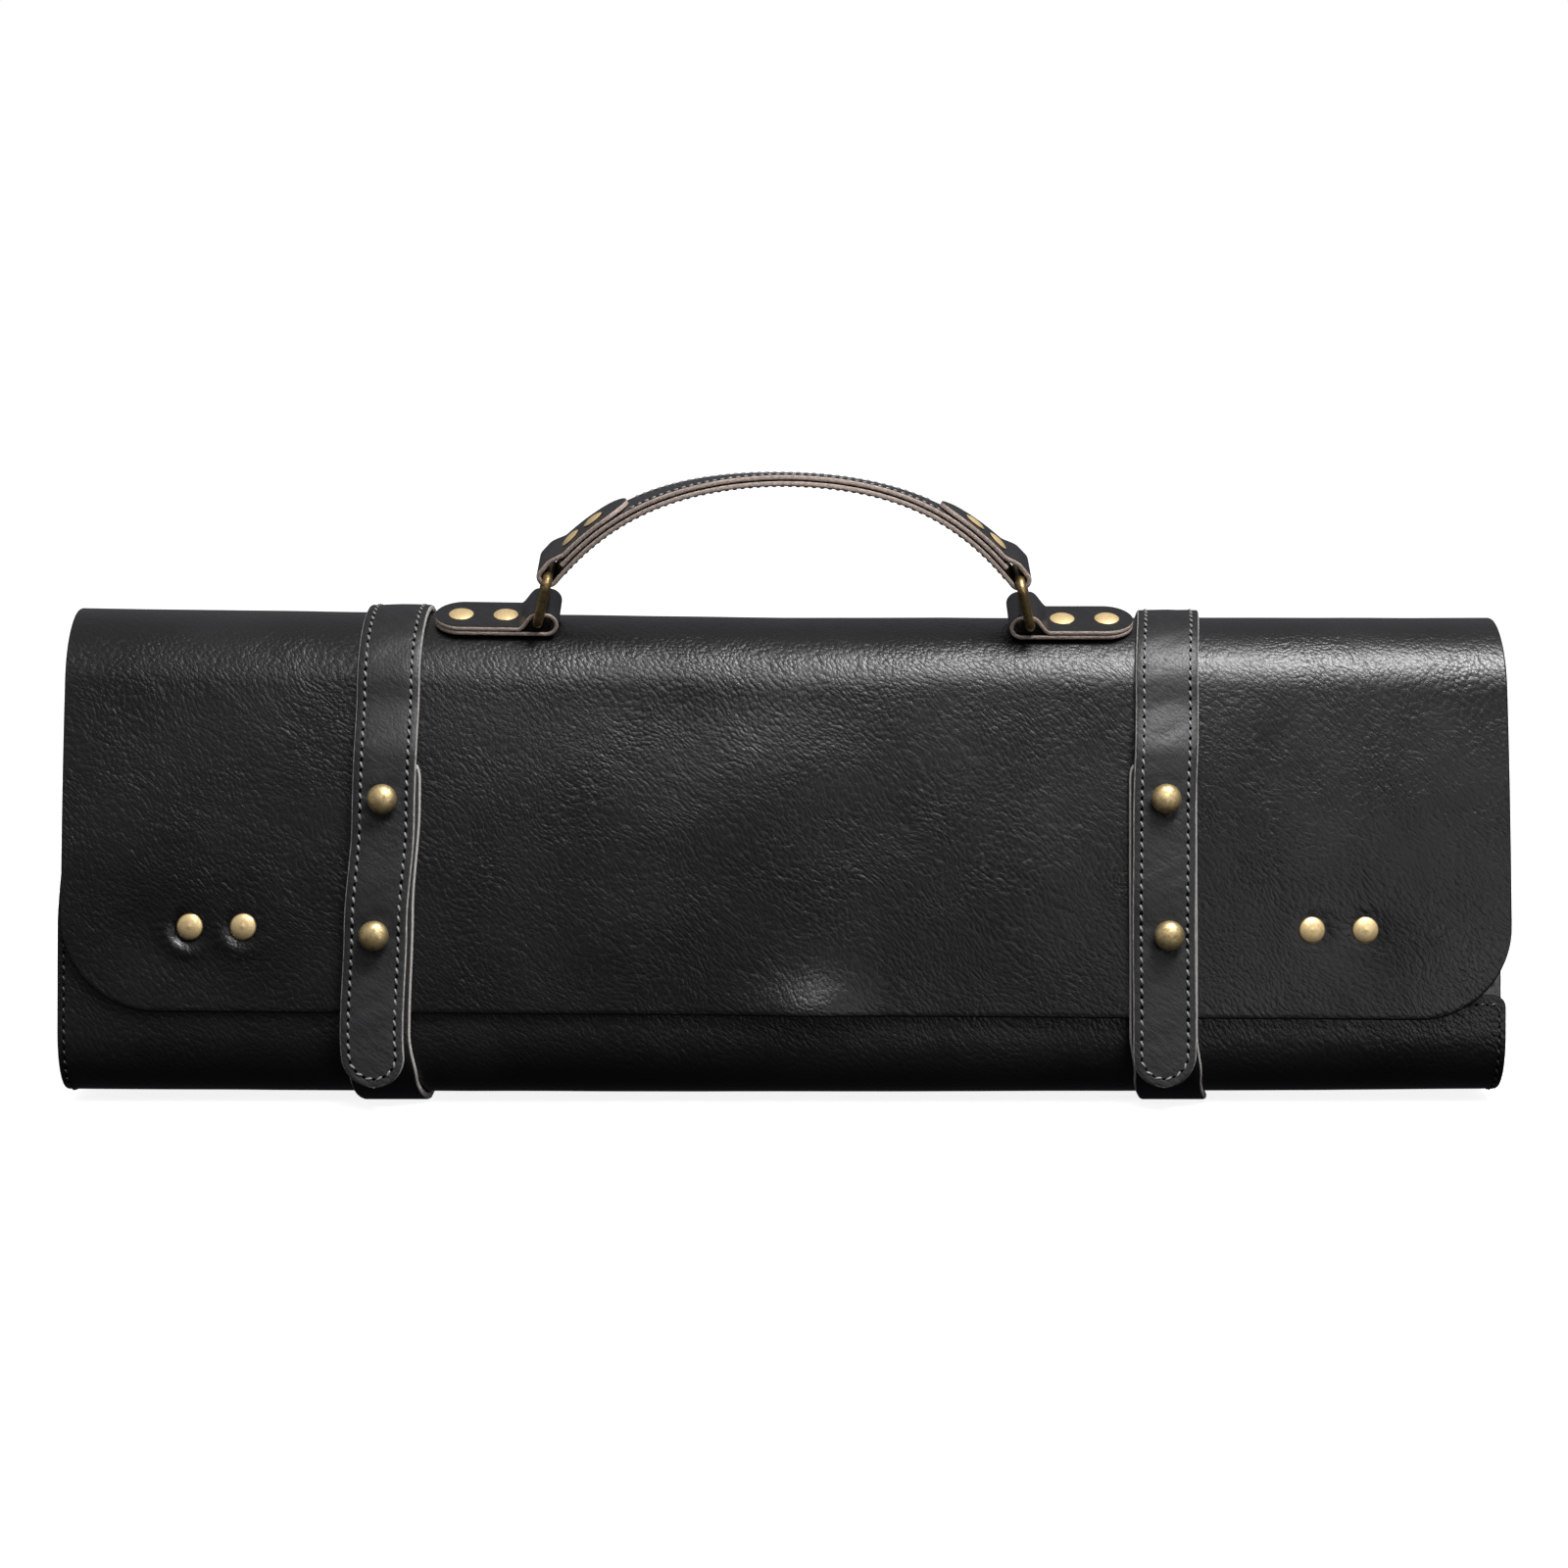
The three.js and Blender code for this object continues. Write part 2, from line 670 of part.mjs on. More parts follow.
// Ribbon along rows of {centre, across, half}: the centre is in the middle of the wall.
function ribbonGeometry(rows, wall) {
  const columns = 2;
  return wallGeometry(rows.length - 1, columns, (i, j, side) => {
    const { centre, across, half } = rows[i];
    const ahead = rows[Math.min(i + 1, rows.length - 1)].centre;
    const behind = rows[Math.max(i - 1, 0)].centre;
    const out = ahead.clone().sub(behind).cross(across).normalize();
    const spot = centre.clone()
      .addScaledVector(out, (side ? -0.5 : 0.5) * wall)
      .addScaledVector(across, mix(-half, half, j / columns));
    return [spot.x, spot.y, spot.z];
  });
}

// The tab's eye is as wide as the tilted ring bar needs; the handle's follows the bar.
const tabEye = ringWireRadius + eyeClearance + tabWidth / 2 * Math.sin(radians(tabTilt - ringTilt));
const handleEye = ringWireRadius + eyeClearance;

// Frame of a tab: X along the ridge of the roll towards the bag's middle, Y across, Z out of the roll.
function tabFrame(side) {
  const tilt = radians(tabTilt);
  const lean = new THREE.Vector3(0, -Math.sin(tilt), Math.cos(tilt));
  const seatAt = (x) => {
    const { roll } = sectionAt(x);
    return new THREE.Vector3(x, roll.y, roll.z).addScaledVector(lean, rollRadius + gap);
  };
  const inner = seatAt(side * tabSpacing / 2);
  const along = inner.clone().sub(seatAt(side * (tabSpacing / 2 + tabLength))).normalize();
  const across = lean.clone().cross(along).normalize();
  const out = along.clone().cross(across);
  return new THREE.Matrix4().makeBasis(along, across, out).setPosition(inner);
}

// Tab: a strip folded round the ring's lower bar, both layers riveted to the roll.
function tabGeometry(side) {
  const low = tabWall / 2;
  const high = low + tabWall + gap;
  const crown = low + 2 * tabEye + tabWall;
  const row = (x, z, half = tabWidth / 2) => (
    { centre: new THREE.Vector3(x, 0, z), across: new THREE.Vector3(0, 1, 0), half });
  const end = roundEnd(tabWidth / 2);
  const rows = end.map(({ from, half }) => row(from - tabLength, low, half));
  rows.push(row(-tabFoldLength, low));
  const bends = 8;
  for (let k = 0; k <= bends; k++) {
    const angle = radians(mix(-90, 90, k / bends));
    const reach = tabEye + tabWall / 2;
    rows.push(row(reach * Math.cos(angle), low + reach * (1 + Math.sin(angle))));
  }
  const folds = 5;
  for (let k = 0; k <= folds; k++) {
    const x = -mix(ringBarInset + ringWireRadius / 2, tabFoldLength, k / folds);
    rows.push(row(x, mix(crown, high, smooth(k / folds))));
  }
  end.reverse().forEach(({ from, half }) => rows.push(row(from - tabLength, high, half)));
  const holes = tabRivetX.map((x) => drill(
    new THREE.Vector3(x, 0, 0), new THREE.Vector3(0, 0, 1), rivetShankRadius + gap, 3 * high));
  return cut(ribbonGeometry(rows, tabWall), holes).applyMatrix4(tabFrame(side));
}

const tabRivetX = [tabRivetFromEnd - tabLength, tabRivetFromEnd + tabRivetPitch - tabLength];

// Ring bars: the lower one in the tab's eye, the upper one in the handle's.
function ringAxes(side) {
  const tilt = radians(ringTilt);
  const lean = radians(ringLean);
  const bar = new THREE.Vector3(0, Math.cos(tilt), Math.sin(tilt));
  const up = new THREE.Vector3(0, -Math.sin(tilt), Math.cos(tilt)).multiplyScalar(Math.cos(lean));
  const leg = up.add(new THREE.Vector3(-side * Math.sin(lean), 0, 0));
  const low = new THREE.Vector3(-ringBarInset, 0, tabWall + tabEye).applyMatrix4(tabFrame(side));
  const high = low.clone().addScaledVector(leg, ringHeight);
  return { bar, leg, low, high };
}

function ringGeometry(side) {
  const { bar, leg, low } = ringAxes(side);
  const halfWidth = ringInnerWidth / 2 + ringWireRadius;
  const r = ringCornerRadius;
  const corners = [
    { b: halfWidth - r, l: r, from: -90 },
    { b: halfWidth - r, l: ringHeight - r, from: 0 },
    { b: r - halfWidth, l: ringHeight - r, from: 90 },
    { b: r - halfWidth, l: r, from: 180 },
  ];
  const points = [];
  const steps = 3;
  for (const { b, l, from } of corners) {
    for (let k = 0; k <= steps; k++) {
      const angle = radians(from + 90 * k / steps);
      points.push(low.clone()
        .addScaledVector(bar, b + r * Math.cos(angle))
        .addScaledVector(leg, l + r * Math.sin(angle)));
    }
  }
  return loopGeometry(points, ringWireRadius, 8, bar.clone().cross(leg).normalize());
}

// Handle guide: a flat-topped arch through both upper ring bars, leaning as the rings do. The
// leather is as tilted as the ring bars at its ends and untwists towards the middle.
const leftRingTop = ringAxes(-1).high;
const rightRingTop = ringAxes(1).high;
const handleLean = new THREE.Vector3(0, -Math.sin(radians(ringTilt)), Math.cos(radians(ringTilt)));

function guideAt(t) {
  const a = handleRoundness;
  const rise = handleRise * (1 - a * t * t - (1 - a) * t ** 4);
  const slope = -handleRise * (2 * a * t + 4 * (1 - a) * t ** 3);
  const chord = rightRingTop.clone().sub(leftRingTop).multiplyScalar(0.5);
  const twist = radians(ringTilt) * Math.abs(t) ** (t < 0 ? leftTwistPower : rightTwistPower);
  const point = leftRingTop.clone().lerp(rightRingTop, (1 + t) / 2).addScaledVector(handleLean, rise);
  const along = chord.addScaledVector(handleLean, slope).normalize();
  const out = along.clone().cross(new THREE.Vector3(0, Math.cos(twist), Math.sin(twist))).normalize();
  return { point, along, out, across: out.clone().cross(along) };
}

// Guide share at a distance along the arch, measured inwards from a ring.
function shareFromRing(distance) {
  let t = 1;
  let walked = 0;
  const step = 0.002;
  while (walked < distance && t > 0) {
    walked += guideAt(t).point.distanceTo(guideAt(t - step).point);
    t -= step;
  }
  return t;
}

function overGuide(t, height, half) {
  const { point, out, across } = guideAt(t);
  return { centre: point.addScaledVector(out, height), across, half };
}

const strapFloor = -handleEye - handleWall / 2;
const linerMiddle = -handleEye + gap + handleLinerWall / 2;
const tongueMiddle = -handleEye + 2 * gap + handleLinerWall + handleWall / 2;

// One end of the outer layer: from under the arch, round the ring bar and back over the top.
function tongueRows(side) {
  const rows = [];
  const half = handleWidth / 2;
  const { point, along, out, across } = guideAt(side);
  const reach = handleEye + handleWall / 2;
  const bends = 8;
  for (let k = 0; k <= bends; k++) {
    const angle = radians(mix(-90, 90, k / bends));
    const centre = point.clone()
      .addScaledVector(along, side * reach * Math.cos(angle))
      .addScaledVector(out, reach * Math.sin(angle));
    rows.push({ centre, across, half });
  }
  const over = (distance, height, width) => (
    rows.push(overGuide(side * shareFromRing(distance), height, width)));
  const folds = 5;
  for (let k = 0; k <= folds; k++) {
    const height = mix(reach, tongueMiddle, smooth(k / folds));
    over(mix(tongueFoldStart, tongueFoldLength, k / folds), height, half);
  }
  const flat = 3;
  for (let k = 1; k < flat; k++) {
    over(mix(tongueFoldLength, tongueLength - half, k / flat), tongueMiddle, half);
  }
  roundEnd(half).reverse().forEach((row) => over(tongueLength - row.from, tongueMiddle, row.half));
  return rows;
}

const handleRivetShares = [handleRivetFromLoop, handleRivetFromLoop + handleRivetPitch]
  .map(shareFromRing);

function handleRivetPlaces() {
  return [-1, 1].flatMap((side) => handleRivetShares.map((share) => {
    const { point, out } = guideAt(share * side);
    return { normal: out, point: point.addScaledVector(out, tongueMiddle + handleWall / 2) };
  }));
}

const stackHeight = 2 * handleWall + handleLinerWall + 2 * gap;
const handleHoles = () => handleRivetPlaces().map(({ point, normal }) => (
  drill(point, normal, rivetShankRadius + gap, 2 * stackHeight)));

// Shares that the lower layer and the liner have in common, so that they stay parallel.
const handleSteps = 18;
const handleShares = Array.from({ length: handleSteps - 1 }, (_, k) => mix(-1, 1, (k + 1) / handleSteps));

function handleStrapGeometry() {
  const middle = handleShares.map((t) => overGuide(t, strapFloor, handleWidth / 2));
  const rows = [...tongueRows(-1).reverse(), ...middle, ...tongueRows(1)];
  return cut(ribbonGeometry(rows, handleWall), handleHoles());
}

function handleLinerGeometry() {
  const reach = shareFromRing(linerStop);
  const between = handleShares.filter((t) => Math.abs(t) < reach - 0.5 / handleSteps);
  const rows = [-reach, ...between, reach].map((t) => overGuide(t, linerMiddle, handleWidth / 2));
  return cut(ribbonGeometry(rows, handleLinerWall), handleHoles());
}

addPiece('bag_shell', cut(shellGeometry(), rivetHoles), leatherBlack);
addPiece('pocket_panel', pocketGeometry(), leatherBlack);
addPiece('end_gusset_left', gussetGeometry(-1), leatherBlack);
addPiece('end_gusset_right', gussetGeometry(1), leatherBlack);

flapRivets.forEach(({ point, normal }, index) => {
  const profile = rivetProfile(flapRivetRadius, flapRivetRise, shellWall);
  addTurned(`flap_rivet_${index + 1}`, profile, 10, point, normal, brass);
});

for (const [side, word] of [[-1, 'left'], [1, 'right']]) {
  const studs = studPlaces(side);
  addPiece(`strap_lower_${word}`, lowerStrapGeometry(side), leatherBlack);
  addPiece(`strap_upper_${word}`, cut(upperStrapGeometry(side), studs.flatMap(keyholeTools)),
    leatherBlack);
  studs.forEach(({ point, normal }, index) => {
    const name = `stud_${word}_${index === 0 ? 'high' : 'low'}`;
    addTurned(name, studProfile(), 12, point, normal, brass);
  });

  addPiece(`base_tab_${word}`, tabGeometry(side), leatherBlack);
  addPiece(`ring_${word}`, ringGeometry(side), brass);
  const frame = tabFrame(side);
  const out = new THREE.Vector3().setFromMatrixColumn(frame, 2);
  const stack = 2 * tabWall + gap;
  tabRivetX.forEach((x, index) => {
    const top = new THREE.Vector3(x, 0, stack).applyMatrix4(frame);
    const profile = rivetProfile(tabRivetRadius, tabRivetRise, stack);
    addTurned(`tab_rivet_${word}_${index + 1}`, profile, 10, top, out, brass);
  });
}

addPiece('handle_strap', handleStrapGeometry(), leatherBlack);
addPiece('handle_liner', handleLinerGeometry(), leatherBlack);
handleRivetPlaces().forEach(({ point, normal }, index) => {
  const profile = rivetProfile(handleRivetRadius, handleRivetRise, stackHeight);
  addTurned(`handle_rivet_${index + 1}`, profile, 10, point, normal, brass);
});

// The origin is under the middle of the whole bag, at its lowest point.
const reach = new THREE.Box3().setFromObject(bag, true);
const middle = reach.getCenter(new THREE.Vector3());
bag.position.set(-middle.x, -middle.y, -reach.min.z);

export default bag;
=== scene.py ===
# Rolled black leather drumstick bag, finished around its solids.
# Sizes are in millimetres; +X runs along the bag, -Y is its front, +Z is up.
import math
import bpy
import numpy as np
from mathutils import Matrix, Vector


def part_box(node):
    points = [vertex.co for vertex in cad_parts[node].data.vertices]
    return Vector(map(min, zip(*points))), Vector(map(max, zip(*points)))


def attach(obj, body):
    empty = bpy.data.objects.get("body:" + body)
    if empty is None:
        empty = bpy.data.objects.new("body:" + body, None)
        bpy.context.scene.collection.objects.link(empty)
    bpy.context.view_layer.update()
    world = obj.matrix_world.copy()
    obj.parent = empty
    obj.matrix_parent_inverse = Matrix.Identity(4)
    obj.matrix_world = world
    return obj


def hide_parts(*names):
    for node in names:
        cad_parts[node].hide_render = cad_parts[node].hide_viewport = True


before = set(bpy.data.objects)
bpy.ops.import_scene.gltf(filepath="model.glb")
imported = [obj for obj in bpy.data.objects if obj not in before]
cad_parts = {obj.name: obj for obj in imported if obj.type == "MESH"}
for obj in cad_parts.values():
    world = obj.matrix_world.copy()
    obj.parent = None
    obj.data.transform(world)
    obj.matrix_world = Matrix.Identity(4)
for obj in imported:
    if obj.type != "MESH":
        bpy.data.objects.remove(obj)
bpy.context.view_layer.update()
mm = 0.001

body = {
    "length": 462, "height": 150.8, "depth": 77, "wall": 2, "gap": 0.3,
    "rollRadius": 28, "toeRadius": 20, "heelRadius": 20, "faceRadius": 800,
    "leftRise": 3.2,        # the left half of the roll stands higher
    "bottomSag": 0.9,       # the ends are off the ground by this much
}
halfLength = body["length"] / 2
turn = 6                    # stations in one turn round the body
frontLength = 104           # along the face, for one station

# Every place is worked out round the body's own section, then moved to where the solids lie.
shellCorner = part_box("bag_shell")[1]
toFrame = np.array([
    0,
    shellCorner.y / mm - body["depth"] / 2,
    shellCorner.z / mm - body["height"] - body["leftRise"],
])


def smooth(t):
    t = np.clip(t, 0, 1)
    return t * t * (3 - 2 * t)


def mixed(a, b, t):
    return a + (b - a) * t


def unit(v):
    return v / np.linalg.norm(v, axis=-1, keepdims=True)


# Smooth random field: a seeded table of values at whole numbers, eased between them.
def wander(a, b, seed):
    side = 64
    table = np.random.default_rng(seed).uniform(-1, 1, (side, side))
    i, j = np.floor(a).astype(int), np.floor(b).astype(int)
    u, v = smooth(a - i), smooth(b - j)
    near = mixed(table[i % side, j % side], table[(i + 1) % side, j % side], u)
    far = mixed(table[i % side, (j + 1) % side], table[(i + 1) % side, (j + 1) % side], u)
    return mixed(near, far, v)


def lengthAlong(points):
    return np.concatenate([[0], np.cumsum(np.linalg.norm(np.diff(points, axis=0), axis=1))])


# Section at x: floor = sag share^2, top = height + rise max(-share, 0). The face is the arc of
# faceRadius that touches the roll circle and the toe circle from inside.
def sectionAt(x):
    share = x / halfLength
    floor = body["bottomSag"] * share**2
    top = body["height"] + body["leftRise"] * np.maximum(-share, 0)
    rollY, rollZ = body["depth"] / 2 - body["rollRadius"], top - body["rollRadius"]
    toeY, toeZ = body["toeRadius"] - body["depth"] / 2, floor + body["toeRadius"]
    apart = np.hypot(toeY - rollY, toeZ - rollZ)
    toRoll = body["faceRadius"] - body["rollRadius"]
    toToe = body["faceRadius"] - body["toeRadius"]
    along = (apart**2 + toRoll**2 - toToe**2) / (2 * apart)
    off = np.sqrt(toRoll**2 - along**2)
    ey, ez = (toeY - rollY) / apart, (toeZ - rollZ) / apart
    faceY, faceZ = rollY + ey * along - ez * off, rollZ + ez * along + ey * off
    return {
        "rollY": rollY, "rollZ": rollZ, "toeY": toeY, "toeZ": toeZ, "faceY": faceY, "faceZ": faceZ,
        "heelY": body["depth"] / 2 - body["heelRadius"], "heelZ": floor + body["heelRadius"],
        "rollAngle": np.arctan2(rollZ - faceZ, rollY - faceY),
        "toeAngle": np.pi + np.arctan2(faceZ - toeZ, faceY - toeY),
    }


# Point and outward normal at a station: centre + radius (cos a, sin a), where centre, radius and a
# come from the stretch: 0 to 1 face, 1 to 2 toe, 2 to 3 bottom, 3 to 4 heel, 4 to 5 back, 5 to 6 roll.
def envelope(x, station):
    x, station = np.broadcast_arrays(np.asarray(x, float), np.asarray(station, float))
    s = sectionAt(x)
    held = np.mod(station, turn)
    stretch = np.floor(held).astype(int)
    part = held - stretch
    down = 1.5 * np.pi

    def pick(*options):
        return np.choose(stretch, [option + 0 * part for option in options])

    centreY = pick(s["faceY"], s["toeY"], mixed(s["toeY"], s["heelY"], part),
                   s["heelY"], s["heelY"], s["rollY"])
    centreZ = pick(s["faceZ"], s["toeZ"], s["toeZ"], s["heelZ"],
                   mixed(s["heelZ"], s["rollZ"], part), s["rollZ"])
    radius = pick(body["faceRadius"], body["toeRadius"], body["toeRadius"],
                  body["heelRadius"], body["heelRadius"], body["rollRadius"])
    angle = pick(mixed(s["rollAngle"], s["toeAngle"], part), mixed(s["toeAngle"], down, part), down,
                 mixed(down, 2 * np.pi, part), 0, mixed(0, s["rollAngle"], part))
    normal = np.stack([0 * x, np.cos(angle), np.sin(angle)], -1)
    return np.stack([x, centreY, centreZ], -1) + radius[..., None] * normal, normal


def stationAtHeight(x, height):
    s = sectionAt(np.asarray(x, float))
    faceAngle = np.pi - np.arcsin(np.clip((height - s["faceZ"]) / body["faceRadius"], -1, 1))
    toeAngle = np.pi - np.arcsin(np.clip((height - s["toeZ"]) / body["toeRadius"], -1, 1))
    onFace = (faceAngle - s["rollAngle"]) / (s["toeAngle"] - s["rollAngle"])
    onToe = 1 + (toeAngle - s["toeAngle"]) / (1.5 * np.pi - s["toeAngle"])
    return np.where(faceAngle <= s["toeAngle"], onFace, onToe)


def backStation(height):
    s = sectionAt(0.0)
    return 4 + (height - s["heelZ"]) / (s["rollZ"] - s["heelZ"])


# Even distances along a path between two stations.
def evenStations(x, start, end, step):
    fine = np.linspace(start, end, 1200)
    walked = lengthAlong(envelope(x, fine)[0])
    return np.interp(np.linspace(0, walked[-1], max(int(walked[-1] / step), 2)), walked, fine)


# Values from start to end, closer together round a centre: density 1 + gain exp(-(v - centre)^2 / reach^2).
def gathered(start, end, count, centre, reach, gain):
    fine = np.linspace(start, end, 2000)
    density = 1 + gain * np.exp(-((fine - centre) / reach)**2)
    walked = np.cumsum(density)
    return np.interp(np.linspace(walked[0], walked[-1], count), walked, fine)


# Shader maths: a socket whose operators add Math nodes.
class Value:
    def __init__(self, maker, socket):
        self.maker, self.socket = maker, socket

    def maths(self, operation, *values):
        return self.maker.node("ShaderNodeMath", {"operation": operation}, dict(enumerate(values)))

    def __add__(self, other):
        return self.maths("ADD", self, other)

    def __mul__(self, other):
        return self.maths("MULTIPLY", self, other)

    def __sub__(self, other):
        return self.maths("SUBTRACT", self, other)

    def __rsub__(self, other):
        return self.maths("SUBTRACT", other, self)

    __radd__ = __add__
    __rmul__ = __mul__

    def between(self, low, high):
        sockets = {"Value": self, "From Min": low, "From Max": high}
        return self.maker.node("ShaderNodeMapRange", {"interpolation_type": "SMOOTHSTEP"}, sockets)


class Maker:
    def __init__(self, name):
        self.material = bpy.data.materials.new(name)
        self.material.use_nodes = True
        self.tree = self.material.node_tree
        self.shader = self.tree.nodes["Principled BSDF"]

    def fill(self, node, sockets):
        for key, value in sockets.items():
            if isinstance(value, Value):
                self.tree.links.new(value.socket, node.inputs[key])
            else:
                node.inputs[key].default_value = value

    def node(self, kind, settings=None, sockets=None, output=0):
        node = self.tree.nodes.new(kind)
        for key, value in (settings or {}).items():
            setattr(node, key, value)
        self.fill(node, sockets or {})
        return Value(self, node.outputs[output])

    def vectorMaths(self, operation, sockets):
        return self.node("ShaderNodeVectorMath", {"operation": operation}, sockets)

    def place(self, scale=1000):
        spot = self.node("ShaderNodeTexCoord", output="Object")
        return self.vectorMaths("SCALE", {0: spot, "Scale": scale})

    def attribute(self, name, output="Fac"):
        return self.node("ShaderNodeAttribute", {"attribute_name": name}, output=output)

    # Turned first, then scaled, so that a low scale draws the pattern out along the turned axis.
    def stretched(self, vector, scale, turned=(0, 0, 0)):
        sockets = {"Vector": vector, "Scale": tuple(1 / each for each in scale), "Rotation": turned}
        return self.node("ShaderNodeMapping", {"vector_type": "TEXTURE"}, sockets)

    def noise(self, vector, scale, detail=2, roughness=0.5, output=0):
        sockets = {"Vector": vector, "Scale": scale, "Detail": detail, "Roughness": roughness}
        return self.node("ShaderNodeTexNoise", None, sockets, output)

    def cells(self, vector, scale, feature="DISTANCE_TO_EDGE"):
        sockets = {"Vector": vector, "Scale": scale}
        return self.node("ShaderNodeTexVoronoi", {"feature": feature}, sockets, "Distance")

    def shifted(self, vector, colour, reach):
        centred = self.vectorMaths("SUBTRACT", {0: colour, 1: (0.5, 0.5, 0.5)})
        push = self.vectorMaths("SCALE", {0: centred, "Scale": reach})
        return self.vectorMaths("ADD", {0: vector, 1: push})

    def blend(self, factor, a, b):
        return self.node("ShaderNodeMix", {"data_type": "RGBA"}, {0: factor, 6: a, 7: b}, 2)

    def bump(self, height, depth, strength=1.0, under=None):
        sockets = {"Height": height, "Distance": depth * mm, "Strength": strength}
        if under is not None:
            sockets["Normal"] = under
        return self.node("ShaderNodeBump", None, sockets)

    def finish(self, sockets):
        self.fill(self.shader, sockets)
        return self.material


def black(level, warmth=0.0):
    return (level * (1 + warmth), level, level * (1 - warmth), 1)


leather = {
    "level": 0.003, "wearAndSheen": 0.007, "roughness": 0.24, "roughnessSpread": 0.13, "cloudRoughness": 0.08,
    "grainPerMm": 0.95, "grainDepth": 0.15, "grainSlant": -42, "finePerMm": 1.5, "fineShare": 0.22,
    "drift": 16, "creaseDepth": 0.3, "creaseSlant": -52, "edgeDark": (0.03, 0.026, 0.024, 1),
}


# Leather grain: cushions 1 - d^2 over cells that are drawn out along a wandering direction, with finer
# cells between them. The wandering place goes back too, for creases that follow it.
def leatherGrain(maker, spot, size=1.0):
    drift = maker.noise(spot, 0.028, 2, 0.5, "Color")
    flow = maker.shifted(spot, drift, leather["drift"])
    slanted = maker.stretched(flow, (1, 1, 0.55), (0, math.radians(leather["grainSlant"]), 0))
    away = maker.cells(slanted, leather["grainPerMm"] / size, "F1")
    pebbles = 1 - away * away
    fine = maker.cells(maker.shifted(spot, drift, 9), leather["finePerMm"] / size).between(0.0, 0.6)
    patches = maker.noise(spot, 0.045, 2).between(0.3, 0.7)
    return pebbles * (0.65 + 0.35 * patches) + leather["fineShare"] * fine, flow


def bodyLeather():
    maker = Maker("bodyLeather")
    spot = maker.place()
    grain, flow = leatherGrain(maker, spot)
    slanted = maker.stretched(flow, (0.32, 0.32, 0.11), (0, math.radians(leather["creaseSlant"]), 0))
    creases = maker.noise(slanted, 1.0, 3, 0.6)
    relief = maker.bump(creases, leather["creaseDepth"], 0.5, maker.bump(grain, leather["grainDepth"]))
    cloudy = maker.noise(spot, 0.02, 3)
    tone = maker.blend(cloudy.between(0.35, 0.75), black(leather["level"]), black(leather["wearAndSheen"], -0.03))
    edge = maker.attribute("rawEdgeAndShadow")
    spread = leather["roughnessSpread"] * (1 - grain) + leather["cloudRoughness"] * cloudy
    return maker.finish({
        "Base Color": maker.blend(edge * 0.5, tone, leather["edgeDark"]),
        "Roughness": leather["roughness"] + spread,
        "Normal": relief, "Specular IOR Level": 0.42, "Coat Weight": 0.05, "Coat Roughness": 0.3,
    })


lining = {"level": 0.004, "wearAndSheen": 0.009, "roughness": 0.22, "puckerDepth": 0.3, "grainDepth": 0.03}


def liningLeather():
    maker = Maker("liningLeather")
    spot = maker.place()
    puckers = maker.noise(maker.stretched(spot, (0.35, 0.35, 0.2)), 1.0, 3, 0.6)
    grain = maker.cells(spot, 1.1).between(0, 0.5)
    relief = maker.bump(puckers, lining["puckerDepth"], 0.6, maker.bump(grain, lining["grainDepth"]))
    tone = maker.blend(puckers.between(0.35, 0.7), black(lining["level"]), black(lining["wearAndSheen"]))
    return maker.finish({
        "Base Color": tone, "Roughness": lining["roughness"] + 0.14 * puckers, "Normal": relief,
        "Specular IOR Level": 0.5, "Coat Weight": 0.3, "Coat Roughness": 0.2,
    })


# The lighter tone level here is a painted sheen for the tail and the space between the studs.
strapSkin = {
    "grainSize": 0.9, "relief": 0.1, "grainShare": 0.7, "wrinkleShare": 1.1, "sheenWrinkleShare": 1.3,
    "wrinkleSlant": -35, "fibreShare": 1.5, "paintedSheen": 0.028, "edgeRoughness": 0.8,
}


# Strap leather reads its own flat place, so that grain and creases follow every bend.
def strapLeather(name, edge, edgeDark, level=0.008, sheen=0.4):
    maker = Maker(name)
    flat = maker.attribute("flat", "Vector")
    grain = leatherGrain(maker, flat, strapSkin["grainSize"])[0]
    slanted = maker.stretched(flat, (0.75, 0.2, 0.5), (0, 0, math.radians(strapSkin["wrinkleSlant"])))
    wrinkles = maker.noise(slanted, 1.0, 3, 0.6)
    paintedSheen = maker.attribute("wearAndSheen")
    wrinkled = wrinkles * (strapSkin["wrinkleShare"] + strapSkin["sheenWrinkleShare"] * paintedSheen)
    height = grain * strapSkin["grainShare"] + wrinkled
    rawEdgeAndShadow = maker.attribute("rawEdgeAndShadow")
    fibres = maker.noise(maker.stretched(flat, (0.5, 2.2, 2.2)), 1.6, 3, 0.65)
    onEdge = rawEdgeAndShadow.between(0.1, 0.3)
    cut = maker.blend(fibres.between(0.35, 0.75), edgeDark, edge)
    # Painted sheen: the base colour is lightened on the tail and between the studs, most on the wrinkles.
    wearAndSheen = paintedSheen * (0.4 + 1.2 * wrinkles)
    tone = maker.blend(wrinkles.between(0.35, 0.7), black(level * 0.8), black(level * 1.35, -0.03))
    tone = maker.blend(wearAndSheen * 0.5, tone, black(strapSkin["paintedSheen"], -0.03))
    height = height * (1 - onEdge) + onEdge * fibres * strapSkin["fibreShare"]
    return maker.finish({
        "Base Color": maker.blend(onEdge, tone, cut),
        "Roughness": mixed(sheen + 0.12 * (1 - grain) + 0.1 * wearAndSheen, strapSkin["edgeRoughness"], onEdge),
        "Normal": maker.bump(height, strapSkin["relief"], 0.9), "Specular IOR Level": 0.45,
    })


def threadFinish(name, dark, light):
    maker = Maker(name)
    spot = maker.place()
    strands = maker.noise(maker.stretched(spot, (1, 1, 3)), 2.0, 2)
    return maker.finish({
        "Base Color": maker.blend(strands, black(dark), black(light)), "Roughness": 0.30 + 0.1 * strands,
        "Normal": maker.bump(strands, 0.1), "Specular IOR Level": 0.8,
    })


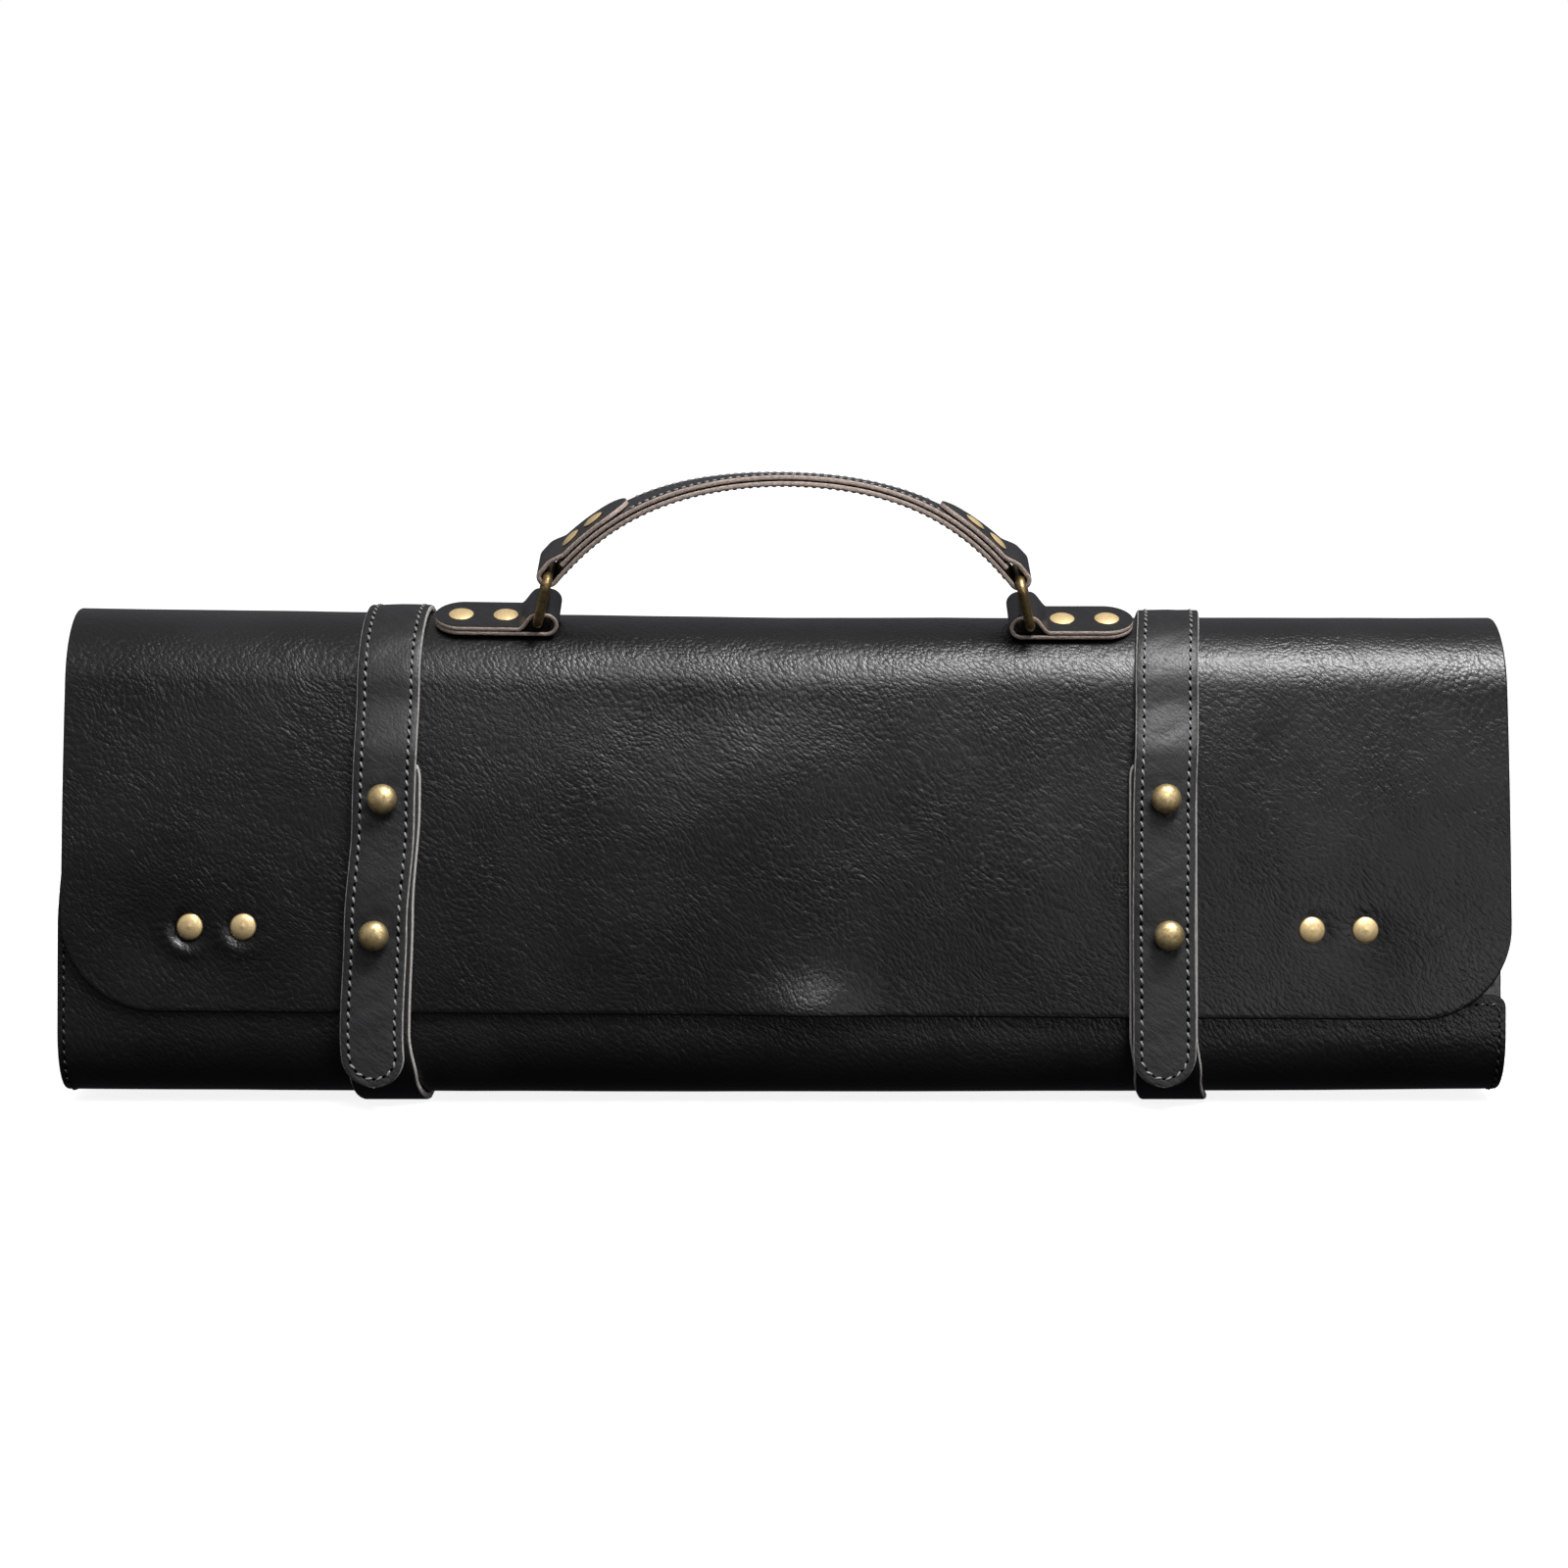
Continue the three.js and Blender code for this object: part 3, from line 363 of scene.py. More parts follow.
# Needle holes: near-black discs in the stitch lines, painted shade of the holes.
def holeFinish():
    maker = Maker("needleHole")
    spot = maker.place()
    holeShade = maker.noise(spot, 2.0, 1)
    return maker.finish({
        "Base Color": maker.blend(holeShade, black(0.001), black(0.003)),
        "Roughness": 0.9 + 0.1 * holeShade, "Specular IOR Level": 0.0,
    })


# The rim colour is a painted contact shadow round the foot of each head; specks and scratches are the
# metal's own.
tarnishAndShadow = {"rim": (0.09, 0.055, 0.022, 1), "rimShadowShare": 0.85, "specks": 0.5, "scratchDepth": 0.035}


# Antique brass: bright where polished by use, brown in patches, and dark towards the rim as a painted
# contact shadow.
def brassFinish(name, bright, dull, spots, rough, metallic=1.0):
    maker = Maker(name)
    spot = maker.place()
    stain = maker.noise(spot, 0.55, 4, 0.65).between(0.38, 0.68)
    specks = maker.noise(spot, 2.6, 3, 0.7)
    # Painted contact shadow: the marked rim rows turn dark brown.
    rim = maker.attribute("rawEdgeAndShadow")
    tone = maker.blend(stain * spots, bright, dull)
    tone = maker.blend(rim * tarnishAndShadow["rimShadowShare"], tone, tarnishAndShadow["rim"])
    scratches = maker.noise(maker.stretched(spot, (3, 3, 0.7), (0.4, 0.6, 0.2)), 1.5, 2)
    return maker.finish({
        "Base Color": maker.blend(specks.between(0.62, 0.75) * tarnishAndShadow["specks"], tone, dull),
        "Roughness": rough + 0.16 * stain + 0.1 * specks, "Metallic": metallic,
        "Normal": maker.bump(scratches + specks, tarnishAndShadow["scratchDepth"], 0.6),
    })


finishes = {
    "body": bodyLeather(),
    "lining": liningLeather(),
    "strap": strapLeather("strapLeather", (0.6, 0.58, 0.55, 1), (0.2, 0.19, 0.18, 1)),
    "lowerStrap": strapLeather("lowerStrapLeather", (0.62, 0.59, 0.56, 1), (0.34, 0.31, 0.29, 1), 0.004),
    "handle": strapLeather("handleLeather", (0.60, 0.50, 0.44, 1), (0.24, 0.18, 0.15, 1), 0.006, 0.28),
    # Strap thread: dark glossy thread, its colour raised to mid grey as a painted glint.
    "thread": threadFinish("strapThread", 0.1, 0.28),
    "darkThread": threadFinish("bodyThread", 0.006, 0.02),
    "hole": holeFinish(),
    "brass": brassFinish("rivetBrass", (0.88, 0.68, 0.36, 1), (0.52, 0.36, 0.17, 1), 0.7, 0.4, 0.72),
    "stud": brassFinish("studBrass", (0.66, 0.52, 0.27, 1), (0.27, 0.18, 0.08, 1), 0.85, 0.38, 0.9),
    "ring": brassFinish("ringBrass", (0.52, 0.38, 0.17, 1), (0.12, 0.08, 0.04, 1), 0.9, 0.3),
}


def addObject(name, data):
    thing = bpy.data.objects.new(name, data)
    bpy.context.scene.collection.objects.link(thing)
    return thing


# Mesh from points and faces, moved into the frame, with its attributes and finishes.
def makePiece(name, points, faces, finish, replaces=(), attributes=None, materials=None, sharp=55):
    mesh = bpy.data.meshes.new(name)
    mesh.from_pydata((points + toFrame) * mm, [], faces)
    for key, values in (attributes or {}).items():
        vector = values.ndim == 2
        layer = mesh.attributes.new(key, "FLOAT_VECTOR" if vector else "FLOAT", "POINT")
        layer.data.foreach_set("vector" if vector else "value", values.astype(np.float32).ravel())
    for each in ([finish] if isinstance(finish, str) else finish):
        mesh.materials.append(finishes[each])
    if materials is not None:
        mesh.polygons.foreach_set("material_index", materials.astype(np.int32))
    mesh.polygons.foreach_set("use_smooth", np.ones(len(mesh.polygons), bool))
    mesh.validate()
    mesh.update()
    mesh.set_sharp_from_angle(angle=math.radians(sharp))
    piece = addObject(name, mesh)
    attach(piece, "root")
    if replaces:
        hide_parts(*replaces)
    return piece


# Faces of a grid that is closed round its columns, with a strip of quads over each open end.
def sleeveFaces(rows, columns, joined=False):
    i, j = np.meshgrid(np.arange(rows if joined else rows - 1), np.arange(columns), indexing="ij")
    after, beside = (i + 1) % rows, (j + 1) % columns
    row, following = i * columns, after * columns
    faces = np.stack([row + j, row + beside, following + beside, following + j], -1).reshape(-1, 4)
    if joined:
        return faces
    j = np.arange(columns // 2 - 1)
    low = np.stack([j, columns - 1 - j, columns - 2 - j, j + 1], -1)
    high = (rows - 1) * columns + low[:, ::-1]
    return np.concatenate([faces, low, high])


# Turns the faces over where the volume that they close is negative.
def facedOut(points, faces):
    a, b, c, d = (points[faces[:, k]] for k in range(4))
    volume = np.sum(a * np.cross(b, c)) + np.sum(a * np.cross(c, d))
    return faces if volume > 0 else faces[:, ::-1]


def sleevePiece(name, points, finish, replaces, attributes=None, joined=False, sharp=55):
    rows, columns = points.shape[:2]
    flatPoints = points.reshape(-1, 3)
    faces = facedOut(flatPoints, sleeveFaces(rows, columns, joined))
    shaped = {key: values.reshape(rows * columns, -1) for key, values in (attributes or {}).items()}
    shaped = {key: values[:, 0] if values.shape[1] == 1 else values for key, values in shaped.items()}
    return makePiece(name, flatPoints, faces.tolist(), finish, replaces, shaped, sharp=sharp)


tipSteps = np.array([0.02, 0.15, 0.45])    # rows close to a rounded tip, by their distance from it

# Rim of a wall: how far the surface drops at a distance from the cut edge.
rim = {"distances": np.array([0, 0.17, 0.6]), "drops": np.array([0.6, 0.18, 0])}


def rimDrop(distance):
    return np.interp(distance, rim["distances"], rim["drops"])


flap = {
    "shift": 1.5, "edgeHeight": 28.5, "edgeTilt": 3, "corner": 30,
    "hemHeight": 112, "cornerHemHeight": 35, "cornerHemLength": 62,
    "rivetHeight": 56.6, "rightDrop": 1.1, "leftX": -180, "rightX": 176, "rivetSpacing": 17,
    "rivetRadius": 4.25, "rivetRise": 1.35,
}

# Dents and bulges: x and height as shares of half the length and of the height, reach as a share of
# the roll radius, depth as a share of the wall, inwards positive.
dents = [
    {"x": -0.87, "z": 0.35, "reach": 0.5, "depth": 0.6},
    {"x": -0.78, "z": 0.3, "reach": 0.5, "depth": 0.4},
    {"x": 0.79, "z": 0.33, "reach": 0.5, "depth": 0.4},
    {"x": -0.16, "z": 0.86, "reach": 1.2, "depth": 0.7},
    {"x": 0.06, "z": 0.6, "reach": 1.2, "depth": 0.6},
    {"x": 0.05, "z": 0.2, "reach": 0.55, "depth": -0.8},
    {"x": 0.33, "z": 0.7, "reach": 1, "depth": 0.4},
]

# Softer swellings of the flap: below the roll, at the edge's middle and over the right lower corner.
swellings = [
    {"x": -0.03, "z": 0.67, "reach": 0.9, "depth": -0.75},
    {"x": 0.02, "z": 0.185, "reach": 0.32, "depth": -1.3, "long": 1.9},
    {"x": 0.5, "z": 0.12, "reach": 1.25, "depth": -0.75},
    {"x": 0.85, "z": 0.14, "reach": 1.0, "depth": -0.5},
]


# Depth of the dents: the sum of depth exp(-r^2 / reach^2).
def dentDepth(x, z, some=dents):
    depth = 0
    for dent in some:
        along = (x - dent["x"] * halfLength) / dent.get("long", 1)
        away = along**2 + (z - dent["z"] * body["height"])**2
        reach = dent["reach"] * body["rollRadius"]
        depth = depth + dent["depth"] * body["wall"] * np.exp(-away / reach**2)
    return depth


def lapDepth(station):
    return (body["wall"] + body["gap"]) * (1 - smooth((station - 1) / 0.7))


# Soft waviness of worn leather, calm near the rivets and the rims.
def waviness(x, girth):
    slow = wander(x / 41, girth / 27, 11)
    slanted = wander((x + 0.7 * girth) / 19, (girth - 0.5 * x) / 34, 12)
    quick = wander(x / 9, girth / 12, 13)
    return 0.34 * slow + 0.2 * slanted + 0.05 * quick


# Outer face of the flap: the envelope less the dents, with its own normal.
def onDentedFlap(x, station):
    def spot(dx, ds):
        point, normal = envelope(x + dx, station + ds)
        return point - normal * dentDepth(point[..., 0], point[..., 2])[..., None]

    step = 0.02
    point = spot(0, 0)
    normal = unit(np.cross(spot(0, step) - point, spot(step * flap["rivetRadius"], 0) - point))
    return point, normal


def flapRivetPlaces():
    half = flap["rivetSpacing"] / 2
    xs = np.array([x + off for x in (flap["leftX"], flap["rightX"]) for off in (-half, half)])
    heights = flap["rivetHeight"] - np.where(xs > 0, flap["rightDrop"], 0)
    return onDentedFlap(xs, stationAtHeight(xs, heights))


shell = {
    "cornerSteps": 24, "columnStep": 2.15, "frontRows": 22, "flapRows": 74, "rivetShare": 0.73,
    "hemRound": 4, "calmReach": 12, "waveRelief": 0.55, "waveTop": 0.25,
    "pucker": 1.8, "puckerReach": 2.6, "fold": 0.5,     # the bowl that a rivet pulls into the flap
    "pullStrengths": (1.0, 0.6, 0.4, 0.4), "pullAngle": 222, "pullLines": 21, "lineDepth": 0.22,
}


def shellHemStation(x):
    low = smooth((x - (halfLength - flap["cornerHemLength"])) / (flap["cornerHemLength"] / 2))
    return stationAtHeight(x, mixed(flap["hemHeight"], flap["cornerHemHeight"], low))


# Edge of the flap: a straight line with round corners, raised by R - sqrt(R^2 - (R - d)^2).
def flapEdgeStation(x):
    fromSide = np.minimum(x + halfLength - flap["shift"], halfLength - x)
    inCorner = np.clip(flap["corner"] - fromSide, 0, flap["corner"])
    raised = flap["corner"] - np.sqrt(np.maximum(flap["corner"]**2 - inCorner**2, 0))
    return turn + stationAtHeight(x, flap["edgeHeight"] - flap["edgeTilt"] * x / body["length"] + raised)


# The body's sheet: two parameters, along the bag and round it from the hem to the flap's edge.
# Each row is closed round: the outer face left to right, then the inner face right to left.
def buildShell():
    quarter = np.linspace(0, np.pi / 2, shell["cornerSteps"])
    corner = flap["corner"] * (1 - np.cos(quarter))
    count = int((body["length"] - 2 * flap["corner"]) / shell["columnStep"])
    rivetAcross = halfLength + flap["leftX"]
    middle = gathered(flap["corner"], body["length"] - flap["corner"], count, rivetAcross, 20, 2.4)[1:-1]
    across = np.concatenate([corner, middle, body["length"] - corner[::-1]])
    across = np.unique(np.concatenate([across, rim["distances"], body["length"] - rim["distances"]]))
    share = across / body["length"]
    edgeDrop = rimDrop(np.minimum(across, body["length"] - across))

    rimSteps = rim["distances"] / frontLength
    frontPart = np.concatenate([rimSteps, np.linspace(0, 1, shell["frontRows"])[1:]])
    fixed = np.concatenate([np.linspace(1, 2, 12), np.linspace(2, 3, 7)[1:], np.linspace(3, 4, 9)[1:],
                            np.linspace(4, 5, 26)[1:], np.linspace(5, 6, 42)[1:]])
    flapPart = gathered(0, 1, shell["flapRows"], shell["rivetShare"], 0.12, 1.6)
    flapPart = np.concatenate([flapPart[1:-1], 1 - rimSteps[::-1]])

    def spread(station):
        toFlap = smooth((station - 4) / 2)
        left = -halfLength + flap["shift"] * np.maximum(toFlap, smooth((0.7 - station) / 0.25))
        right = halfLength - flap["shift"] * (1 - toFlap)
        return mixed(left, right, share[None, :])

    frontX = spread(np.zeros((1, 1)))
    fromCorner = np.clip(shell["hemRound"] - (halfLength - flap["shift"] - frontX), 0, shell["hemRound"])
    hemRaised = shell["hemRound"] - np.sqrt(shell["hemRound"]**2 - fromCorner**2)
    hem = shellHemStation(frontX) + hemRaised / frontLength
    front = mixed(hem, 1, frontPart[:, None])
    flapX = spread(np.full((1, 1), turn + 1.0))
    hanging = mixed(turn, flapEdgeStation(flapX), flapPart[:, None])
    station = np.concatenate([front, np.repeat(fixed[1:, None], share.size, 1), hanging])
    x = spread(station)
    point, normal = envelope(x, station)
    girth = np.cumsum(np.linalg.norm(np.diff(point, axis=0, prepend=point[:1]), axis=2), axis=0)

    rowDrop = np.zeros(len(station))
    rowDrop[:3], rowDrop[-3:] = rim["drops"], rim["drops"][::-1]
    drop = np.minimum(rowDrop[:, None] + edgeDrop[None, :], rim["drops"][0])
    onFlap = smooth((station - 5.6) / 0.6)
    lap = np.where(station < 3, lapDepth(station), 0)
    rivets = flapRivetPlaces()[0]
    calm = np.ones_like(x)
    pulled = np.zeros_like(x)
    for index, rivet in enumerate(rivets):
        dx, dz = point[..., 0] - rivet[0], point[..., 2] - rivet[2]
        away = np.hypot(dx, dz)
        near = np.where(station > 5.5, np.exp(-(away / shell["calmReach"])**2), 0)
        calm = calm * (1 - near)
        fromRivet = np.maximum(away - flap["rivetRadius"] + 0.6, 0) / shell["puckerReach"]
        bowl = np.exp(-fromRivet**2) - shell["fold"] * np.exp(-((fromRivet - 1.6) / 0.95)**2)
        angle = np.arctan2(dz, dx)
        pull = np.cos((angle - math.radians(shell["pullAngle"])) / 2)**4 if index < 2 else 0.3
        rays = 1 + np.cos(shell["pullLines"] * angle + index)
        lines = 1 - shell["lineDepth"] * rays * smooth((away - 5) / 4)
        depth = shell["pucker"] * shell["pullStrengths"][index]
        pulled += np.where(station > 5.5, depth * bowl * pull * lines, 0)
    straight = smooth(np.minimum(across, body["length"] - across) / 14)[None, :]
    wavy = waviness(x, girth) * calm * mixed(0.35, 1, straight) * mixed(0.5, 1, onFlap)
    swollen = onFlap * calm * dentDepth(x, point[..., 2], swellings)
    raised = shell["waveRelief"] * np.minimum(wavy, shell["waveTop"])
    sunk = onFlap * dentDepth(x, point[..., 2]) + lap + swollen - raised
    outer = point - normal * (sunk + drop + onFlap * pulled)[..., None]
    inner = point - normal * (sunk + body["wall"] - drop)[..., None]
    points = np.concatenate([outer, inner[:, ::-1]], axis=1)
    rawEdgeAndShadow = (drop > 0.3).astype(float)
    rawEdgeAndShadow = np.concatenate([rawEdgeAndShadow, rawEdgeAndShadow[:, ::-1]], axis=1)
    sleevePiece("shellLeather", points, "body", ["bag_shell"], {"rawEdgeAndShadow": rawEdgeAndShadow})


pocket = {"wall": 1.5, "height": 116, "inset": 3, "clearance": 0.65, "lowEnd": 1.8}


# Inner panel: a sheet parallel to the front panel, puckered along its side seam.
def buildPocket():
    half = halfLength - pocket["inset"]
    x = np.linspace(-half, half - flap["shift"], 200)
    station = np.concatenate([
        evenStations(0, float(stationAtHeight(0, pocket["height"])), 1, 2.2),
        np.linspace(1, pocket["lowEnd"], 10)[1:]])[:, None]
    x = x[None, :]
    point, normal = envelope(x, station)
    edge = np.minimum(x + half, half - flap["shift"] - x)
    pucker = 0.3 * np.sin(station * 2 * np.pi * frontLength / 7 + 0.3 * x) * np.exp(-edge / 9)
    fromEnd = np.minimum(np.arange(station.size), np.arange(station.size)[::-1])[:, None]
    drop = np.where((edge < 0.01) | (fromEnd < 1), 0.35, 0)
    base = lapDepth(station) + body["wall"] + pocket["clearance"] + 0.3 - np.clip(pucker, -0.25, 0.25)
    outer = point - normal * (base + drop)[..., None]
    inner = point - normal * (base + pocket["wall"] - 0.1 - drop)[..., None]
    points = np.concatenate([outer, inner[:, ::-1]], axis=1)
    sleevePiece("pocketLeather", points, "lining", ["pocket_panel"])


gusset = {"wall": 1.8, "depth": 12, "inset": 0.6, "fillet": 2.4, "lip": 0.6, "foot": 0.5, "bulge": 1.6}


# End panel: its outline round the section, carried along a tray's profile of (inset, x, share).
def buildGusset(side, word):
    outer = side * (halfLength - gusset["inset"]) - (flap["shift"] if side > 0 else 0)
    inner = outer - side * gusset["depth"]
    station = np.concatenate([
        np.linspace(k, k + 1, n, endpoint=False) for k, n in enumerate((22, 10, 10, 10, 22, 26))])
    front = 1 - smooth((station - 2) / 0.6) + smooth((station - 5.3) / 0.5)
    onRoll = (body["wall"] + body["gap"]) * smooth((station - 5.3) / 0.5)
    lap = np.where(station < 3, lapDepth(station), onRoll)
    sunk = lap + body["wall"] + body["gap"] + front * (pocket["clearance"] + pocket["wall"])
    point, normal = envelope(inner, station)
    outline = point - normal * sunk[:, None]
    centre = outline.mean(axis=0)
    wall, fillet, lip, foot = (gusset[key] for key in ("wall", "fillet", "lip", "foot"))
    bend = np.linspace(0, np.pi / 2, 6)
    depth, reach = gusset["depth"], np.linspace(0.02, 1, 12)[:-1]
    far = (1 - reach**2) * gusset["bulge"]
    rows = [(0, rise * 0.6, share) for share, rise in zip(reach, far)]
    rows += [(foot * (1 - math.sin(a)), foot * (1 - math.cos(a)), 1) for a in bend]
    rows += [(0, d, 1) for d in np.linspace(1.5, depth - lip, 6)]
    rows += [(lip * (1 - math.cos(a)), depth - lip + lip * math.sin(a), 1) for a in bend[1:]]
    rows += [(wall - lip + lip * math.sin(a), depth - lip + lip * math.cos(a), 1) for a in bend]
    rows += [(wall, d, 1) for d in np.linspace(depth - 1.5, wall + fillet, 4)]
    rows += [(wall + fillet * (1 - math.cos(a)), wall + fillet * (1 - math.sin(a)), 1) for a in bend[1:]]
    rows += [(wall + fillet, wall + rise, share) for share, rise in zip(reach[::-1], far[::-1])]
    inset, out, share = (np.array(column, float)[:, None, None] for column in zip(*rows))
    lipped = outline[None] - normal[None] * inset
    points = centre + (lipped - centre) * share
    points[..., 0] = inner + side * out[..., 0]
    wave = 0.12 * wander(station * 5, station * 0, 21)[None, :] * (share[..., 0] == 1)
    points[..., 1] += wave * normal[None, :, 1] * 0.5
    name = "endPanel" + word.capitalize()
    sleevePiece(name, points, "lining", ["end_gusset_" + word], sharp=60)


# Flat leather on a path: rows of centre, outward and sideways directions, with half widths.
def makeRibbon(centre, out, across, half, wall):
    return {"centre": centre, "out": unit(out), "across": unit(across), "half": half, "wall": wall,
            "length": lengthAlong(centre)}


# Place on a ribbon: centre(s) + across(s) a + out(s) h.
def onRibbon(ribbon, s, a, h):
    def at(key):
        return np.stack([np.interp(s, ribbon["length"], ribbon[key][:, k]) for k in range(3)], -1)

    return at("centre") + at("across") * np.asarray(a)[..., None] + at("out") * np.asarray(h)[..., None]


# Distance to the ribbon's own border in its flat shape, with round ends where it has them.
def borderDistance(ribbon, s, a):
    full = ribbon["half"].max()
    total = ribbon["length"][-1]
    distance = full - np.abs(a)
    if ribbon.get("roundEnd"):
        beyond = np.maximum(s - (total - full), 0)
        distance = np.where(beyond > 0, full - np.hypot(a, beyond), distance)
    if ribbon.get("roundStart"):
        beyond = np.maximum(full - s, 0)
        distance = np.where(beyond > 0, full - np.hypot(a, beyond), distance)
    return distance


ribbonEdge = {"radius": 0.45, "bend": (1, 0.3, 0), "columns": 11, "groove": 0.16, "grooveWidth": 0.75}


# Ribbon piece: a rounded flat section, half width w(s) and wall t, carried along the path; the top
# is lowered by a groove along the stitches and raised by a little relief.
def ribbonPiece(name, ribbon, finish, replaces, stitchInset=None, relief=None, crown=0.0,
                edgeRadius=ribbonEdge["radius"], wearAndSheen=None):
    half = ribbon["half"][:, None]
    wall, radius = ribbon["wall"], np.minimum(edgeRadius, 0.7 * half)
    inside = np.linspace(-1, 1, ribbonEdge["columns"] + 2)[1:-1]
    level, bend = np.zeros(inside.size), np.array(ribbonEdge["bend"])
    side = np.concatenate([-np.ones(bend.size), inside, np.ones(bend.size)])
    edge = np.concatenate([bend[::-1], level, bend])
    drop = np.concatenate([bend, level, bend[::-1]])
    onRim = np.abs(side) == 1
    inner = np.maximum(half - radius, 0)
    a = np.where(onRim[None, :], side * (half - radius * edge), side * inner * 0.985)
    s = np.repeat(ribbon["length"][:, None], a.shape[1], 1)
    lowered = drop[None, :] * radius
    if stitchInset:
        away = borderDistance(ribbon, s, a) - stitchInset
        lowered = lowered + ribbonEdge["groove"] * np.exp(-(away / ribbonEdge["grooveWidth"])**2)
    lift = crown * (1 - (a / ribbon["half"].max())**2)
    if relief is not None:
        lift = lift + relief(s, a) * ~onRim[None, :]
    top = onRibbon(ribbon, s, a, wall / 2 - lowered + lift)
    under = -wall / 2 + drop[None, :] * radius
    bottom = onRibbon(ribbon, s, a, under)
    points = np.concatenate([top, bottom[:, ::-1]], axis=1)
    height = np.concatenate([wall / 2 - lowered + 0 * a, under[:, ::-1] + 0 * a], 1)
    flat = np.stack([np.concatenate([s, s], 1), np.concatenate([a, a[:, ::-1]], 1), height], -1)
    rawEdgeAndShadow = np.repeat(np.concatenate([drop, drop[::-1]])[None, :], len(s), 0)
    rawEdgeAndShadow[[0, -1]] = 1
    attributes = {"flat": flat, "rawEdgeAndShadow": rawEdgeAndShadow}
    if wearAndSheen is not None:
        attributes["wearAndSheen"] = wearAndSheen(flat[..., 0], flat[..., 1])
    return sleevePiece(name, points, finish, replaces, attributes)


def roundedHalf(length, half, atStart, atEnd):
    width = np.full(length.shape, float(half))
    for wanted, distance in ((atStart, length), (atEnd, length[-1] - length)):
        if wanted:
            t = np.clip(half - distance, 0, half)
            width = np.minimum(width, np.sqrt(np.maximum(half**2 - t**2, 0.04)))
    return width


# Flat line of stitches along a ribbon's border, from one edge round the end to the other.
def borderLine(ribbon, inset, start=2.0):
    reach = ribbon["half"].max() - inset
    centre = ribbon["length"][-1] - ribbon["half"].max()
    angle = np.linspace(-np.pi / 2, np.pi / 2, 24)
    bow = np.stack([centre + reach * np.cos(angle), reach * np.sin(angle)], -1)
    return np.concatenate([[[start, -reach]], bow, [[start, reach]]])


stitch = {"pitch": 3.3, "length": 2.15, "radius": 0.46, "slant": 20, "lift": 0.1, "hole": 0.56}


# Small closed grains: rings of radius r(t) along an axis, one grain for each place.
def grains(centre, axis, sideways, up, length, radius, flatness, sides=6):
    t = np.array([-1, -0.72, 0, 0.72, 1])
    r = np.array([0.18, 0.78, 1, 0.78, 0.18])
    angle = np.arange(sides) * 2 * np.pi / sides
    along = (t * length / 2)[:, None] + 0 * angle[None, :]
    lateral = r[:, None] * radius * np.cos(angle)[None, :]
    rise = r[:, None] * radius * flatness * np.sin(angle)[None, :]
    points = (centre[:, None, None] + axis[:, None, None] * along[..., None]
              + sideways[:, None, None] * lateral[..., None] + up[:, None, None] * rise[..., None])
    faces = sleeveFaces(t.size, sides)
    one = facedOut(points[0].reshape(-1, 3), faces)
    count = t.size * sides
    allFaces = (one[None] + (np.arange(len(centre)) * count)[:, None, None]).reshape(-1, 4)
    return points.reshape(-1, 3), allFaces


# Threads and needle holes along lines of points with their surface normals.
def stitchPiece(name, lines, pitch=stitch["pitch"], size=1.0, thread="thread"):
    turned = math.radians(stitch["slant"])
    points, faces, kinds, start = [], [], [], 0
    for line, normal in lines:
        length = lengthAlong(line)
        spots = np.arange(pitch / 2, length[-1], pitch)

        def at(values, where):
            return np.stack([np.interp(where, length, values[:, k]) for k in range(3)], -1)

        def frameAt(where):
            up = unit(at(normal, where))
            ahead = at(line, np.minimum(where + 0.5, length[-1])) - at(line, np.maximum(where - 0.5, 0))
            ahead = unit(ahead - up * np.sum(ahead * up, -1, keepdims=True))
            return ahead, np.cross(up, ahead), up

        ahead, beside, up = frameAt(spots)
        axis = ahead * math.cos(turned) + beside * math.sin(turned)
        grainSet = [(at(line, spots) + up * stitch["lift"] * size, axis, np.cross(up, axis), up,
                     stitch["length"] * size * pitch / stitch["pitch"], stitch["radius"] * size, 0.9, 0)]
        # Needle holes: flat near-black grains between the stitches, painted shade of the holes.
        holes = spots[:-1] + pitch / 2
        ahead, beside, up = frameAt(holes)
        grainSet.append((at(line, holes) - up * 0.02, ahead, beside, up,
                         stitch["hole"] * 2.2 * size, stitch["hole"] * size, 0.35, 1))
        for centre, axis, sideways, up, long, radius, flatness, kind in grainSet:
            some, its = grains(centre, axis, sideways, up, long, radius, flatness)
            points.append(some)
            faces.append(its + start)
            kinds.append(np.full(len(its), kind))
            start += len(some)
    points, faces, kinds = np.concatenate(points), np.concatenate(faces), np.concatenate(kinds)
    return makePiece(name, points, faces.tolist(), [thread, "hole"], materials=kinds, sharp=80)


# Line of a ribbon's flat drawing, carried onto its face, with the face's normals.
def lineOnRibbon(ribbon, flatLine, height, step=0.8):
    walked = lengthAlong(flatLine)
    fine = np.linspace(0, walked[-1], int(walked[-1] / step) + 2)
    s, a = (np.interp(fine, walked, flatLine[:, k]) for k in range(2))
    line = onRibbon(ribbon, s, a, height + 0 * s)
    return line, onRibbon(ribbon, s, a, height + 1 + 0 * s) - line


strap = {
    "spacing": 252, "centreX": -2, "upperWidth": 20, "lowerWidth": 21.6, "upperWall": 2.2, "lowerWall": 2.4,
    "lowerTop": 106.7, "liftLength": 21, "liftStop": 1.5, "tail": 16.5, "joinHeight": 72,
    "stitchInset": 2.7, "step": 1.4,
    "studHeights": (95.6, 53.8), "rightLowShift": 1.2, "neck": 2.4, "neckLength": 3.2,
    "head": 4.75, "headHeight": 6, "holeClearance": 0.5, "slitLength": 3.4, "slitWidth": 1,
    "slackFrom": 52, "sheenFrom": 55, "puckerAt": 5.6, "puckerDepth": 0.35, "puckers": 5,
}

